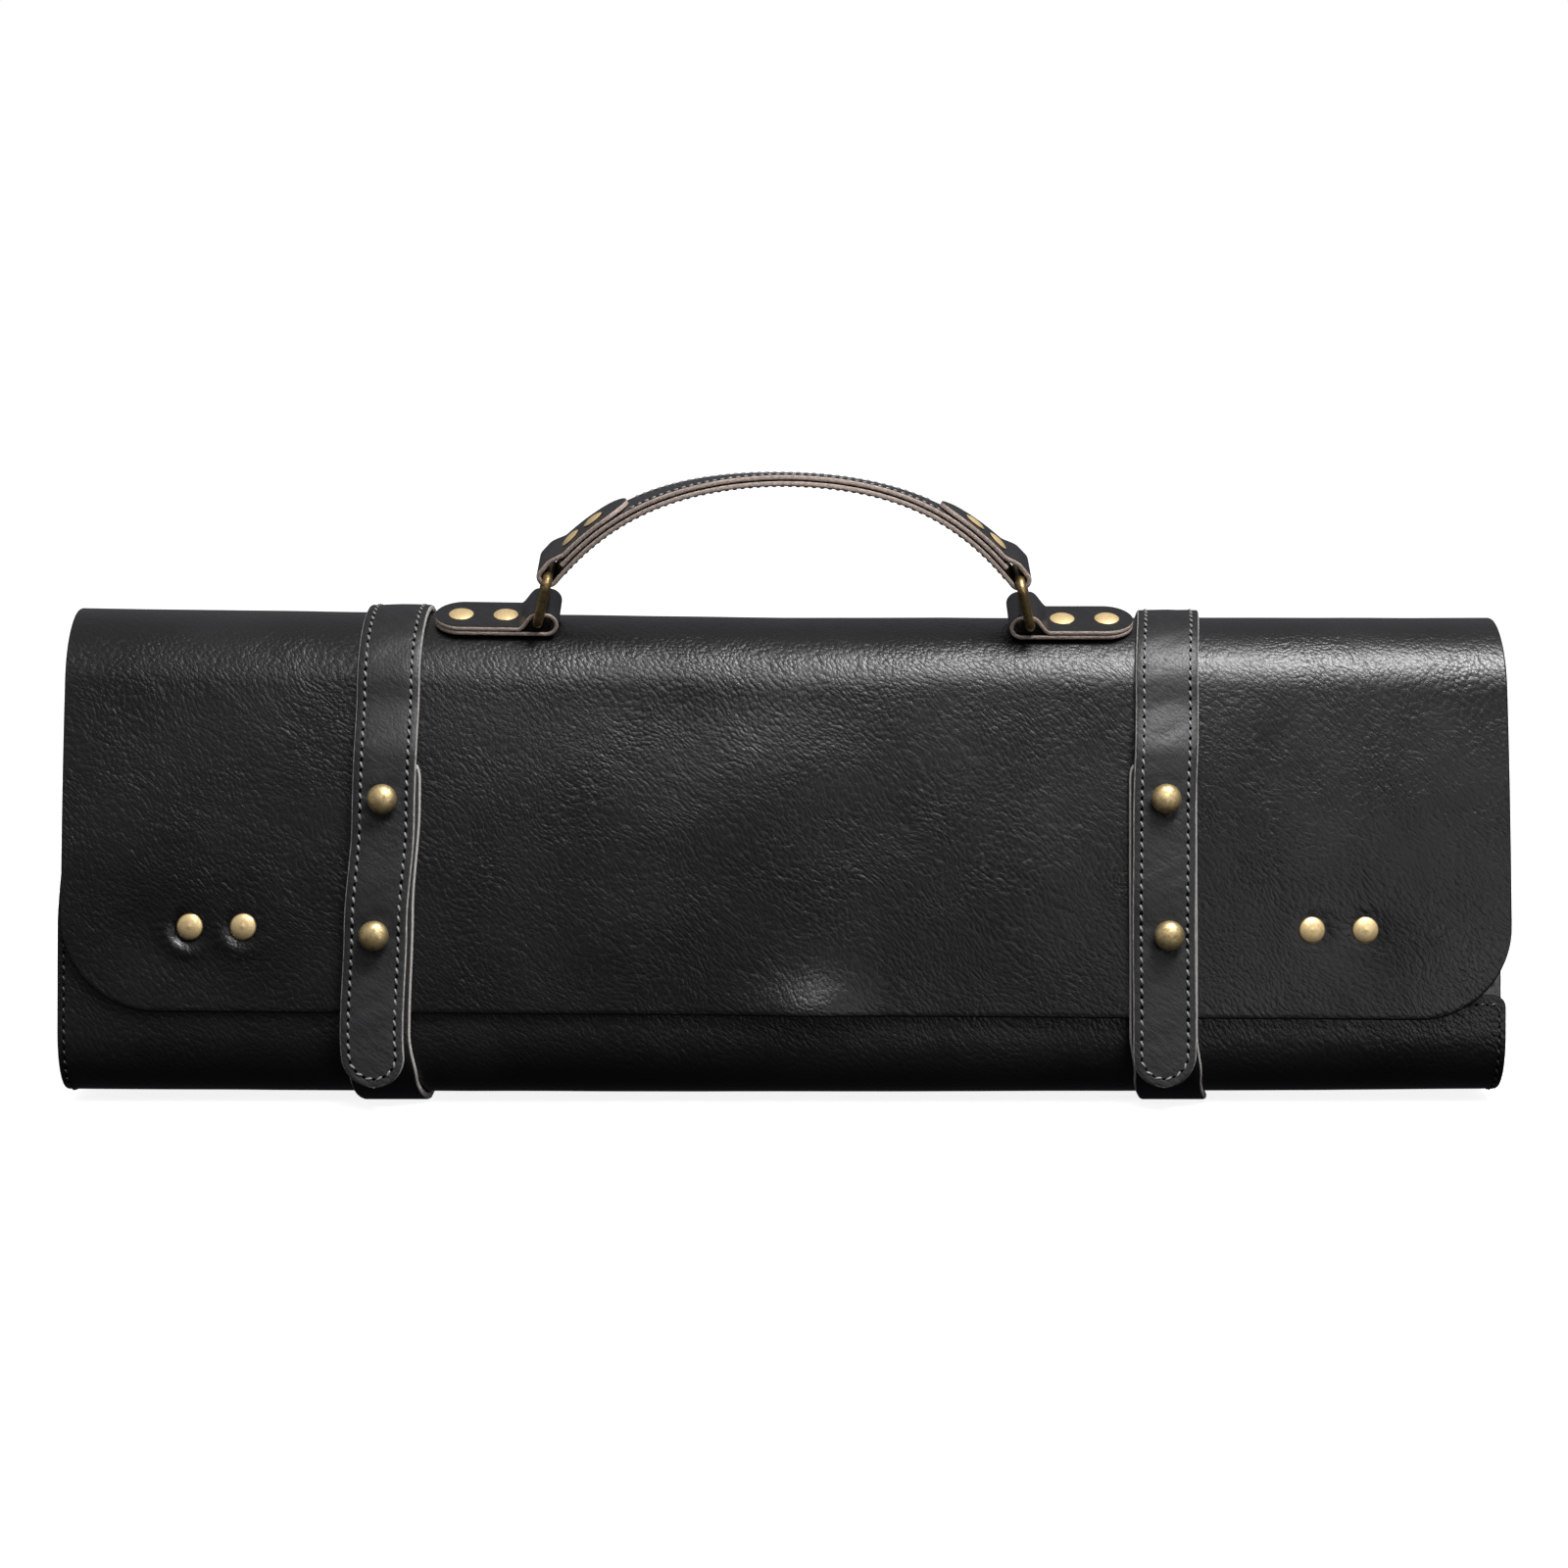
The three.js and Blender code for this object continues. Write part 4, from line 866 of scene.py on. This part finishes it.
# Sideways shift of the straps at stations of the section, as shares of the strap's width.
upperCourses = {
    -1: [(4, 0.17), (5.4, 0.17), (6, 0.1), (6.4, 0.06), (6.7, -0.05), (7, -0.11), (8, -0.07)],
    1: [(4, 0.1), (5.4, 0.09), (6, -0.1), (6.4, -0.18), (6.7, -0.2), (7, -0.19), (8, -0.2)],
}
lowerCourses = {
    -1: [(0, 0.09), (0.35, 0.09), (0.65, 0), (1, -0.05), (1.4, 0.03), (2, 0.16), (4, 0.16), (5, 0.16)],
    1: [(0, -0.16), (0.6, -0.18), (1, -0.18), (1.4, -0.09), (2, 0.09), (4, 0.1), (5, 0.1)],
}


def courseAt(course, station):
    at, shift = np.array(course, float).T
    after = np.clip(np.searchsorted(at, station, side="right"), 1, at.size - 1)
    part = smooth((station - at[after - 1]) / (at[after] - at[after - 1]))
    return mixed(shift[after - 1], shift[after], part)


def strapX(side):
    return strap["centreX"] + side * strap["spacing"] / 2


# Upper strap: over the body, climbing onto the lower strap, and past the toe straight on as a tail.
def upperRibbon(side):
    centre = strapX(side)
    start = backStation(strap["joinHeight"]) + 0.004
    held = evenStations(centre, start, turn + 1 - 1e-6, strap["step"])
    tail = turn + 1 + np.linspace(0, 1, 15)[1:]
    tipDistances = np.array([2.6, 1.6, 0.9, 0.45, 0.15, 0.02])
    tail = np.unique(np.concatenate([tail[:-1], turn + 2 - tipDistances / strap["tail"]]))
    station = np.concatenate([held, tail])
    point, normal = envelope(centre, np.minimum(station, turn + 1 - 1e-6))
    beyond = np.maximum(station - turn - 1, 0) * strap["tail"]
    climbStart = turn + stationAtHeight(centre, strap["lowerTop"] + strap["liftLength"])
    climbEnd = turn + stationAtHeight(centre, strap["lowerTop"] + strap["liftStop"])
    climb = smooth((np.minimum(station, turn + 1) - climbStart) / (climbEnd - climbStart))
    lift = body["gap"] + (strap["lowerWall"] + body["gap"]) * climb + strap["upperWall"] / 2
    down = np.stack([0 * station, -normal[:, 2], normal[:, 1]], -1)
    place = point + normal * lift[:, None] + down * beyond[:, None]
    place[:, 0] += strap["upperWidth"] * courseAt(upperCourses[side], station)
    across = np.tile([1.0, 0, 0], (len(place), 1))
    ribbon = makeRibbon(place, normal, across, None, strap["upperWall"])
    ribbon["half"] = roundedHalf(ribbon["length"], strap["upperWidth"] / 2, False, True)
    ribbon["roundEnd"] = True
    return ribbon


def lowerRibbon(side):
    centre = strapX(side)
    start = float(stationAtHeight(centre, strap["lowerTop"]))
    station = evenStations(centre, start, backStation(strap["joinHeight"]), strap["step"])
    point, normal = envelope(centre, station)
    place = point + normal * (body["gap"] + strap["lowerWall"] / 2)
    place[:, 0] += strap["lowerWidth"] * courseAt(lowerCourses[side], station)
    across = np.tile([1.0, 0, 0], (len(place), 1))
    half = np.full(len(place), strap["lowerWidth"] / 2)
    half[:4] -= np.array([1.0, 0.45, 0.15, 0])
    return makeRibbon(place, normal, across, half, strap["lowerWall"])


def studPlaces(side):
    centre = strapX(side)
    places = []
    for index, height in enumerate(strap["studHeights"]):
        station = float(stationAtHeight(centre, height))
        point, normal = envelope(centre, station)
        point = point + normal * (2 * body["gap"] + strap["lowerWall"])
        point[0] += strap["upperWidth"] * float(courseAt(upperCourses[side], np.array(turn + station)))
        point[0] += strap["rightLowShift"] if side > 0 and index == 1 else 0
        places.append((point, normal))
    return places


# Cuts a keyhole for each stud: a round hole with a short slit below it.
def cutKeyholes(piece, places):
    radius, reach = strap["neck"] + strap["holeClearance"], 4.0
    points, faces, start = [], [], 0
    for point, normal in places:
        down = np.array([0, -normal[2], normal[1]])
        slit = strap["slitWidth"] / 2
        angle = np.linspace(np.arcsin(slit / radius), 2 * np.pi - np.arcsin(slit / radius), 25)
        outline = np.stack([radius * np.sin(angle), radius * np.cos(angle)], -1)
        foot = radius + strap["slitLength"] - 1
        outline = np.concatenate([outline, [[-slit, foot], [slit, foot]]])[::-1]
        flat = point + outline[:, :1] * np.array([1.0, 0, 0]) + outline[:, 1:] * down
        both = np.concatenate([flat - normal * reach, flat + normal * reach])
        n = len(outline)
        points.append(both)
        faces += [list(range(start, start + n))[::-1], list(range(start + n, start + 2 * n))]
        faces += [[start + k, start + (k + 1) % n, start + n + (k + 1) % n, start + n + k] for k in range(n)]
        start += 2 * n
    mesh = bpy.data.meshes.new("cutter")
    mesh.from_pydata((np.concatenate(points) + toFrame) * mm, [], faces)
    mesh.update()
    cutter = addObject("cutter", mesh)
    modifier = piece.modifiers.new("keyholes", "BOOLEAN")
    modifier.object, modifier.solver, modifier.operation = cutter, "EXACT", "DIFFERENCE"
    graph = bpy.context.evaluated_depsgraph_get()
    done = bpy.data.meshes.new_from_object(piece.evaluated_get(graph))
    piece.modifiers.clear()
    piece.data = done
    bpy.data.objects.remove(cutter)


# Turned metal: a profile of (radius, height) rows round the axis, standing on a point.
def turnedPiece(name, profile, point, normal, finish, node, rimRows, sides=28):
    profile = np.array(profile, float)
    spare = np.array([1.0, 0, 0]) if abs(normal[0]) < 0.9 else np.array([0, 1.0, 0])
    e1 = unit(np.cross(normal, spare))
    e2 = np.cross(normal, e1)
    angle = np.arange(sides) * 2 * np.pi / sides
    spokes = np.cos(angle)[:, None] * e1 + np.sin(angle)[:, None] * e2
    radius = np.maximum(profile[:, 0], 0.02)
    points = point + radius[:, None, None] * spokes[None] + profile[:, 1][:, None, None] * normal
    # Rim rows carry the brass finish's painted contact shadow round the foot of the head.
    rawEdgeAndShadow = np.zeros((len(profile), sides))
    rawEdgeAndShadow[list(rimRows)] = 1
    sleevePiece(name, points, finish, [node], {"rawEdgeAndShadow": rawEdgeAndShadow}, sharp=50)


def buildStraps(side, word):
    title = word.capitalize()
    upper, lower = upperRibbon(side), lowerRibbon(side)
    studs = studPlaces(side)
    nearest = [np.argmin(np.linalg.norm(upper["centre"] - spot, axis=1)) for spot, _ in studs]
    studLengths = upper["length"][nearest]

    # Little puckers beside each stud, and slack folds on the tail.
    def relief(s, a):
        height = 0.13 * wander((s + 0.5 * a) / 3.4, (a - 0.3 * s) / 9, 30 + side)
        slack = smooth((s - upper["length"][-1] + strap["slackFrom"]) / 20)
        height = height + 0.1 * slack * wander((s - 0.7 * a) / 1.3, (a + 0.7 * s) / 5, 40 + side)
        for s0 in studLengths:
            petals = 0.6 + 0.4 * np.cos(np.arctan2(s - s0, a) * strap["puckers"])
            fromRing = (np.hypot(s - s0, a) - strap["puckerAt"]) / 1.6
            height = height - strap["puckerDepth"] * petals * np.exp(-fromRing**2)
        return height

    # Painted sheen on the tail and between the studs: the strap's colour is lightened there, and its leather
    # is rougher and more wrinkled.
    def wearAndSheen(s, a):
        onTail = smooth((s - upper["length"][-1] + strap["sheenFrom"]) / 30)
        between = (studLengths[0] + studLengths[1]) / 2
        return 0.9 * onTail + 0.6 * np.exp(-((s - between) / 9)**2)

    piece = ribbonPiece("upperStrap" + title, upper, "strap", ["strap_upper_" + word],
                        strap["stitchInset"], relief, crown=0.15, edgeRadius=0.65, wearAndSheen=wearAndSheen)
    cutKeyholes(piece, studs)
    ribbonPiece("lowerStrap" + title, lower, "lowerStrap",
                ["strap_lower_" + word], edgeRadius=1.0)
    line = lineOnRibbon(upper, borderLine(upper, strap["stitchInset"]), strap["upperWall"] / 2 - 0.06)
    stitchPiece("upperStrapStitches" + title, [line])

    head, neck, base = strap["head"], strap["neck"], strap["neckLength"]
    profile = [(0, 0), (neck * 0.92, 0), (neck, 0.15), (neck, base - 0.1)]
    for angle in np.radians(np.linspace(-52, 90, 16)):
        height = base + strap["headHeight"] * (0.42 + 0.54 * np.sign(angle) * abs(math.sin(angle))**0.9)
        profile.append((head * math.cos(angle), max(height, base)))
    for (point, normal), level in zip(studs, ("high", "low")):
        turnedPiece(f"stud{title}{level.capitalize()}", profile, point, normal, "stud",
                    f"stud_{word}_{level}", range(6))


tab = {"spacing": 152.6, "length": 36.4, "width": 18.6, "wall": 1.2, "tilt": 22, "foldLength": 9,
       "rivetRadius": 4.1, "rivetRise": 0.9, "rivetPitch": 14.4, "rivetFromEnd": 8.5}
ring = {"wire": 1.6, "innerWidth": 20.8, "height": 15.9, "tilt": 17.5, "lean": 13.5, "barInset": 2.6,
        "corner": 3.2, "eyeClearance": 0.45, "sides": 14}
handleEye = ring["wire"] + ring["eyeClearance"]
tabEye = handleEye + tab["width"] / 2 * math.sin(math.radians(tab["tilt"] - ring["tilt"]))


# Frame of a tab: origin and axes, along the ridge towards the bag's middle, across, and out.
def tabFrame(side):
    tilt = math.radians(tab["tilt"])
    lean = np.array([0, -math.sin(tilt), math.cos(tilt)])

    def seatAt(x):
        s = sectionAt(x)
        return np.array([x, s["rollY"], s["rollZ"]]) + lean * (body["rollRadius"] + body["gap"])

    origin = seatAt(side * tab["spacing"] / 2)
    along = unit(origin - seatAt(side * (tab["spacing"] / 2 + tab["length"])))
    across = unit(np.cross(lean, along))
    return origin, along, across, np.cross(along, across)


def inFrame(frameAxes, x, y, z):
    origin, along, across, out = frameAxes
    x, y, z = (np.asarray(v, float)[..., None] for v in (x, y, z))
    return origin + x * along + y * across + z * out


def ringAxes(side):
    tilt, lean = math.radians(ring["tilt"]), math.radians(ring["lean"])
    bar = np.array([0, math.cos(tilt), math.sin(tilt)])
    upright = math.cos(lean)
    leg = np.array([-side * math.sin(lean), -math.sin(tilt) * upright, math.cos(tilt) * upright])
    low = inFrame(tabFrame(side), -ring["barInset"], 0, tab["wall"] + tabEye)
    return bar, leg, low, low + leg * ring["height"]


rivetShank = {"radius": 1.5, "bevel": 0.1}


# Rivet on a shank: the head's height is rise (1 - share^2.6), with a small nub where it is pointed.
def rivetProfile(radius, rise, stack, pointed=0.0):
    shank, bevel = rivetShank["radius"], rivetShank["bevel"]
    profile = [(0, -stack), (shank - bevel, -stack), (shank, bevel - stack), (shank, 0.02)]
    profile += [(radius * 0.96, 0.02), (radius, 0.2)]
    for share in np.sin(np.linspace(0.93 * np.pi / 2, 0, 13)):
        nub = pointed * math.exp(-(share / 0.16)**2)
        profile.append((radius * share, 0.1 + (rise - 0.1) * (1 - share**2.6) + nub))
    return profile


# Path of a tab's leather: under, round the ring's bar, and back over itself to lie flat.
def foldedPath():
    low = tab["wall"] / 2
    high = low + tab["wall"] + body["gap"]
    crown = low + 2 * tabEye + tab["wall"]
    reach = tabEye + tab["wall"] / 2
    angle = np.linspace(-np.pi / 2, np.pi / 2, 22)
    fold = np.linspace(0, 1, 16)
    foldX = -mixed(ring["barInset"] + ring["wire"] / 2, tab["foldLength"], fold)
    flatX = np.linspace(-tab["length"], -tab["foldLength"], 34)
    flatX = np.unique(np.concatenate([flatX, tipSteps - tab["length"]]))
    x = np.concatenate([flatX, reach * np.cos(angle), foldX, flatX[::-1][1:]])
    z = np.concatenate([low + 0 * flatX, low + reach * (1 + np.sin(angle)),
                        mixed(crown, high, smooth(fold)), high + 0 * flatX[1:]])
    return x, z


def buildTab(side, word):
    axes = tabFrame(side)
    x, z = foldedPath()
    centre = inFrame(axes, x, 0 * x, z)
    across = np.tile(axes[2], (len(x), 1))
    tangent = np.gradient(centre, axis=0)
    ribbon = makeRibbon(centre, np.cross(tangent, across), across, None, tab["wall"] + 0.9 * body["gap"])
    ribbon["half"] = roundedHalf(ribbon["length"], tab["width"] / 2, True, True)
    ribbon["roundStart"] = ribbon["roundEnd"] = True
    ribbonPiece("baseTab" + word.capitalize(), ribbon, "handle", ["base_tab_" + word])
    stack = 2 * tab["wall"] + body["gap"]
    profile = rivetProfile(tab["rivetRadius"], tab["rivetRise"], stack)
    for number in (1, 2):
        alongTab = tab["rivetFromEnd"] + (number - 1) * tab["rivetPitch"] - tab["length"]
        turnedPiece(f"tabRivet{word.capitalize()}{number}", profile, inFrame(axes, alongTab, 0, stack),
                    axes[3], "brass", f"tab_rivet_{word}_{number}", range(8))


# Ring: a circle of the wire's radius carried round a rectangle with round corners.
def buildRing(side, word):
    bar, leg, low, _ = ringAxes(side)
    r = ring["corner"]
    wide, tall = ring["innerWidth"] / 2 + ring["wire"] - r, ring["height"]
    quarter = np.linspace(0, np.pi / 2, 9)
    corners = [(wide, r, -np.pi / 2), (wide, tall - r, 0), (-wide, tall - r, np.pi / 2), (-wide, r, np.pi)]
    path = np.concatenate([
        np.stack([b + r * np.cos(turned + quarter), l + r * np.sin(turned + quarter)], -1)
        for b, l, turned in corners])
    steps = np.linalg.norm(path - np.roll(path, 1, 0), axis=1)
    path = np.concatenate([np.linspace(path[k - 1], path[k], 5 if steps[k] > 2 else 2)[1:]
                           for k in range(len(path))])
    tangent = unit(np.roll(path, -1, 0) - np.roll(path, 1, 0))
    outward = np.stack([tangent[:, 1], -tangent[:, 0]], -1)
    flatNormal = unit(np.cross(bar, leg))
    angle = np.arange(ring["sides"]) * 2 * np.pi / ring["sides"]
    offset = ring["wire"] * np.cos(angle)
    b = path[:, None, 0] + outward[:, None, 0] * offset
    l = path[:, None, 1] + outward[:, None, 1] * offset
    points = low + b[..., None] * bar + l[..., None] * leg
    points = points + (ring["wire"] * np.sin(angle))[None, :, None] * flatNormal
    rawEdgeAndShadow = np.zeros(points.shape[:2])
    sleevePiece("ring" + word.capitalize(), points, "ring", ["ring_" + word],
                {"rawEdgeAndShadow": rawEdgeAndShadow}, joined=True)


handle = {"width": 17.6, "wall": 1.6, "linerWall": 1.6, "rise": 32.5, "roundness": 0.6,
          "leftTwistPower": 1.4, "rightTwistPower": 3, "tongue": 34, "foldStart": 3.4, "foldLength": 10,
          "linerStop": 6, "rivetRadius": 3.7, "rivetRise": 0.8, "rivetFromLoop": 12, "rivetPitch": 9.6,
          "stitchInset": 1.5, "stitchPitch": 2.5}


# Guide arch at share t: the line between the ring tops, raised by rise (1 - a t^2 - (1 - a) t^4)
# along the lean, with a sideways direction that is as tilted as the ring bars at the ends.
def guideAt(t):
    t = np.asarray(t, float)
    tilt = math.radians(ring["tilt"])
    lean = np.array([0, -math.sin(tilt), math.cos(tilt)])
    left, right = ringAxes(-1)[3], ringAxes(1)[3]
    a = handle["roundness"]
    rise = handle["rise"] * (1 - a * t**2 - (1 - a) * t**4)
    slope = -handle["rise"] * (2 * a * t + 4 * (1 - a) * t**3)
    power = np.where(t < 0, handle["leftTwistPower"], handle["rightTwistPower"])
    twist = tilt * np.abs(t)**power
    point = mixed(left, right, ((1 + t) / 2)[..., None]) + rise[..., None] * lean
    along = unit((right - left) / 2 + slope[..., None] * lean)
    sideways = np.stack([0 * t, np.cos(twist), np.sin(twist)], -1)
    out = unit(np.cross(along, sideways))
    return point, along, out, np.cross(out, along)


def shareFromRing(distance):
    t = np.linspace(1, 0, 800)
    return np.interp(distance, lengthAlong(guideAt(t)[0]), t)


# End of the handle's strap: a loop round the ring, then a tongue that lies on the liner.
def tongueLine(side):
    floor = -handleEye - handle["wall"] / 2
    level = -handleEye + 2 * body["gap"] + handle["linerWall"] + handle["wall"] / 2
    point, along, out, across = guideAt(np.array([float(side)]))
    reach = handleEye + handle["wall"] / 2
    angle = np.linspace(-np.pi / 2, np.pi / 2, 24)[:, None]
    loop = point + side * along * reach * np.cos(angle) + out * reach * np.sin(angle)
    loopAcross = np.repeat(across, len(angle), 0)
    fold = np.linspace(0, 1, 16)
    foldDistance = mixed(handle["foldStart"], handle["foldLength"], fold)
    half = handle["width"] / 2
    tip = handle["tongue"] - half * (1 - np.sin(np.linspace(0.02, 1, 14) * np.pi / 2))[::-1]
    flatDistance = np.unique(np.concatenate([
        np.linspace(handle["foldLength"], handle["tongue"] - half, 16)[1:], tip,
        handle["tongue"] - tipSteps]))
    distance = np.concatenate([foldDistance, flatDistance])
    height = np.concatenate([mixed(reach, level, smooth(fold)), level + 0 * flatDistance])
    point, _, out, over = guideAt(side * shareFromRing(distance))
    line = np.concatenate([loop, point + out * height[:, None]])
    return line, np.concatenate([loopAcross, over]), floor


def buildHandle():
    rightLine, rightAcross, floor = tongueLine(1)
    leftLine, leftAcross, _ = tongueLine(-1)
    t = np.linspace(-1, 1, 120)[1:-1]
    point, _, out, across = guideAt(t)
    centre = np.concatenate([leftLine[::-1], point + out * floor, rightLine])
    across = np.concatenate([leftAcross[::-1], across, rightAcross])
    outward = np.cross(np.gradient(centre, axis=0), across)
    strapRibbon = makeRibbon(centre, outward, across, None, handle["wall"])
    strapRibbon["half"] = roundedHalf(strapRibbon["length"], handle["width"] / 2, True, True)
    strapRibbon["roundStart"] = strapRibbon["roundEnd"] = True
    ribbonPiece("handleStrap", strapRibbon, "handle", ["handle_strap"])

    reach = float(shareFromRing(handle["linerStop"]))
    t = np.linspace(-reach, reach, 120)
    level = -handleEye + body["gap"] + handle["linerWall"] / 2
    point, _, out, across = guideAt(t)
    half = np.full(t.size, handle["width"] / 2)
    liner = makeRibbon(point + out * level, out, across, half, handle["linerWall"])
    ribbonPiece("handleLiner", liner, "handle", ["handle_liner"],
                handle["stitchInset"], crown=0.2)

    free = float(shareFromRing(handle["tongue"] + 1))
    edge = handle["width"] / 2 - handle["stitchInset"]
    t = np.linspace(-free, free, 160)
    lines = []
    point, _, out, across = guideAt(t)
    for side in (-1, 1):
        above = point + across * side * edge + out * (level + handle["linerWall"] / 2 - 0.02)
        lines.append((above, out))
    t = np.linspace(-0.97, 0.97, 200)
    point, _, out, across = guideAt(t)
    for side in (-1, 1):
        below = point + across * side * (edge + 0.3) + out * (floor - handle["wall"] / 2 + 0.05)
        lines.append((below, -out))
    stitchPiece("handleStitches", lines, handle["stitchPitch"], 0.95)

    stack = 2 * handle["wall"] + handle["linerWall"] + 2 * body["gap"]
    top = -handleEye + 2 * body["gap"] + handle["linerWall"] + handle["wall"]
    profile = rivetProfile(handle["rivetRadius"], handle["rivetRise"], stack)
    for number, (side, step) in enumerate(((-1, 0), (-1, 1), (1, 0), (1, 1)), 1):
        share = side * float(shareFromRing(handle["rivetFromLoop"] + step * handle["rivetPitch"]))
        point, _, out, _ = guideAt(share)
        turnedPiece(f"handleRivet{number}", profile, point + out * top, out, "brass",
                    f"handle_rivet_{number}", range(8))


def buildFlapRivets():
    points, normals = flapRivetPlaces()
    profile = rivetProfile(flap["rivetRadius"], flap["rivetRise"], body["wall"], pointed=0.18)
    for number, (point, normal) in enumerate(zip(points, normals), 1):
        turnedPiece(f"flapRivet{number}", profile, point, normal, "brass", f"flap_rivet_{number}", range(9))


seam = {"inset": 2.2, "hemInset": 3.0, "sunk": 0.03, "end": 5.35, "pitch": 3.4, "size": 0.9}


# Seams of the body: the sheet is sewn to the end panels along its sides, and its hem at the corner.
def buildBodySeams():
    lines = []
    for side in (-1, 1):
        x = side * (halfLength - seam["inset"]) - (flap["shift"] if side > 0 else 0)
        start = float(shellHemStation(np.array(x))) + 0.03
        station = evenStations(x, start, seam["end"], 1.0)
        point, normal = envelope(x, station)
        lap = np.where(station < 3, lapDepth(station), 0)
        lines.append((point - normal * (lap + seam["sunk"])[:, None], normal))
    x = np.linspace(halfLength - 34, halfLength - 4, 40)
    station = shellHemStation(x) + seam["hemInset"] / frontLength
    point, normal = envelope(x, station)
    lines.append((point - normal * (lapDepth(station) + seam["sunk"])[:, None], normal))
    stitchPiece("bodyStitches", lines, seam["pitch"], seam["size"], thread="darkThread")


print("finishes ready")
buildShell()
print("shell done")
buildPocket()
for side, word in ((-1, "left"), (1, "right")):
    buildGusset(side, word)
    buildStraps(side, word)
    buildTab(side, word)
    buildRing(side, word)
buildFlapRivets()
buildBodySeams()
buildHandle()
print("straps, handle and metal done")

studio = {
    "target": (0, -30, 104), "elevation": 8, "distance": 1008, "lens": 73.37, "shiftY": 1.5 / 1600,
    "floorSize": 12, "floorGlow": 0.86,
    "sky": [(0.4, (0.03, 0.03, 0.034, 1)), (0.5, (0.09, 0.09, 0.1, 1)), (1.0, (0.42, 0.42, 0.44, 1))],
    "key": {"place": (0.4, -0.6, 1.3), "aim": (0.15, 0, 0.13), "size": (0.42, 0.5), "power": 26},
    "middle": {"place": (0.05, -0.95, 0.95), "aim": (0.03, 0, 0.13), "size": (0.45, 0.3), "power": 2.6},
    "low": {"place": (0.72, -1.15, 0.22), "aim": (0.15, 0, 0.08), "size": (0.7, 0.16), "power": 1.5},
    "fill": {"place": (-1.6, -0.8, 0.5), "aim": (0, 0, 0.1), "size": (0.7, 0.7), "power": 0.8},
}


def areaLight(name, settings):
    light = bpy.data.lights.new(name, "AREA")
    light.shape = "RECTANGLE"
    light.size, light.size_y = settings["size"]
    light.energy = settings["power"]
    thing = addObject(name, light)
    thing.location = settings["place"]
    aim = Vector(settings["aim"]) - Vector(settings["place"])
    thing.rotation_euler = aim.to_track_quat("-Z", "Y").to_euler()


# Pale floor that the bag stands on; it takes soft shadows, and stays out of the leather's gloss.
def buildFloor():
    size = studio["floorSize"]
    corners = [(-size, -size, 0), (size, -size, 0), (size, size, 0), (-size, size, 0)]
    mesh = bpy.data.meshes.new("floor")
    mesh.from_pydata(corners, [], [(0, 1, 2, 3)])
    maker = Maker("paleFloor")
    tone = maker.noise(maker.place(1), 3, 2)
    shade = maker.blend(tone, (0.9, 0.9, 0.9, 1), (0.93, 0.93, 0.93, 1))
    maker.finish({"Base Color": shade, "Roughness": 0.9, "Specular IOR Level": 0.0,
                  "Emission Color": (1, 1, 1, 1), "Emission Strength": studio["floorGlow"]})
    mesh.materials.append(maker.material)
    floor = addObject("floor", mesh)
    floor.visible_glossy = False
    floor.visible_diffuse = False


# White surroundings to the eye, and a darker studio in the reflections: bright above, dim below.
def buildWorld():
    world = bpy.data.worlds.new("studio")
    bpy.context.scene.world = world
    world.use_nodes = True
    tree = world.node_tree
    background = tree.nodes["Background"]
    spot = tree.nodes.new("ShaderNodeTexCoord")
    split = tree.nodes.new("ShaderNodeSeparateXYZ")
    ramp = tree.nodes.new("ShaderNodeValToRGB")
    ramp.color_ramp.elements.new(0.5)
    for element, (position, colour) in zip(ramp.color_ramp.elements, studio["sky"]):
        element.position = position
        element.color = colour
    half = tree.nodes.new("ShaderNodeMath")
    half.operation = "MULTIPLY_ADD"
    half.inputs[1].default_value = half.inputs[2].default_value = 0.5
    path = tree.nodes.new("ShaderNodeLightPath")
    mix = tree.nodes.new("ShaderNodeMix")
    mix.data_type = "RGBA"
    mix.inputs[7].default_value = (1, 1, 1, 1)
    tree.links.new(spot.outputs["Generated"], split.inputs[0])
    tree.links.new(split.outputs["Z"], half.inputs[0])
    tree.links.new(half.outputs[0], ramp.inputs[0])
    tree.links.new(path.outputs["Is Camera Ray"], mix.inputs[0])
    tree.links.new(ramp.outputs[0], mix.inputs[6])
    tree.links.new(mix.outputs[2], background.inputs[0])


def buildCamera():
    camera = addObject("camera", bpy.data.cameras.new("camera"))
    elevation = math.radians(studio["elevation"])
    back = Vector((0, -math.cos(elevation), math.sin(elevation)))
    camera.location = (Vector(studio["target"]) + back * studio["distance"]) * mm
    camera.rotation_euler = (math.pi / 2 - elevation, 0, 0)
    camera.data.lens = studio["lens"]
    camera.data.sensor_width = 36
    camera.data.shift_y = studio["shiftY"]
    bpy.context.scene.camera = camera


for name in ("key", "middle", "low", "fill"):
    areaLight(name, studio[name])
buildFloor()
buildWorld()
buildCamera()
bpy.context.scene.view_settings.view_transform = "Standard"
print("studio ready")
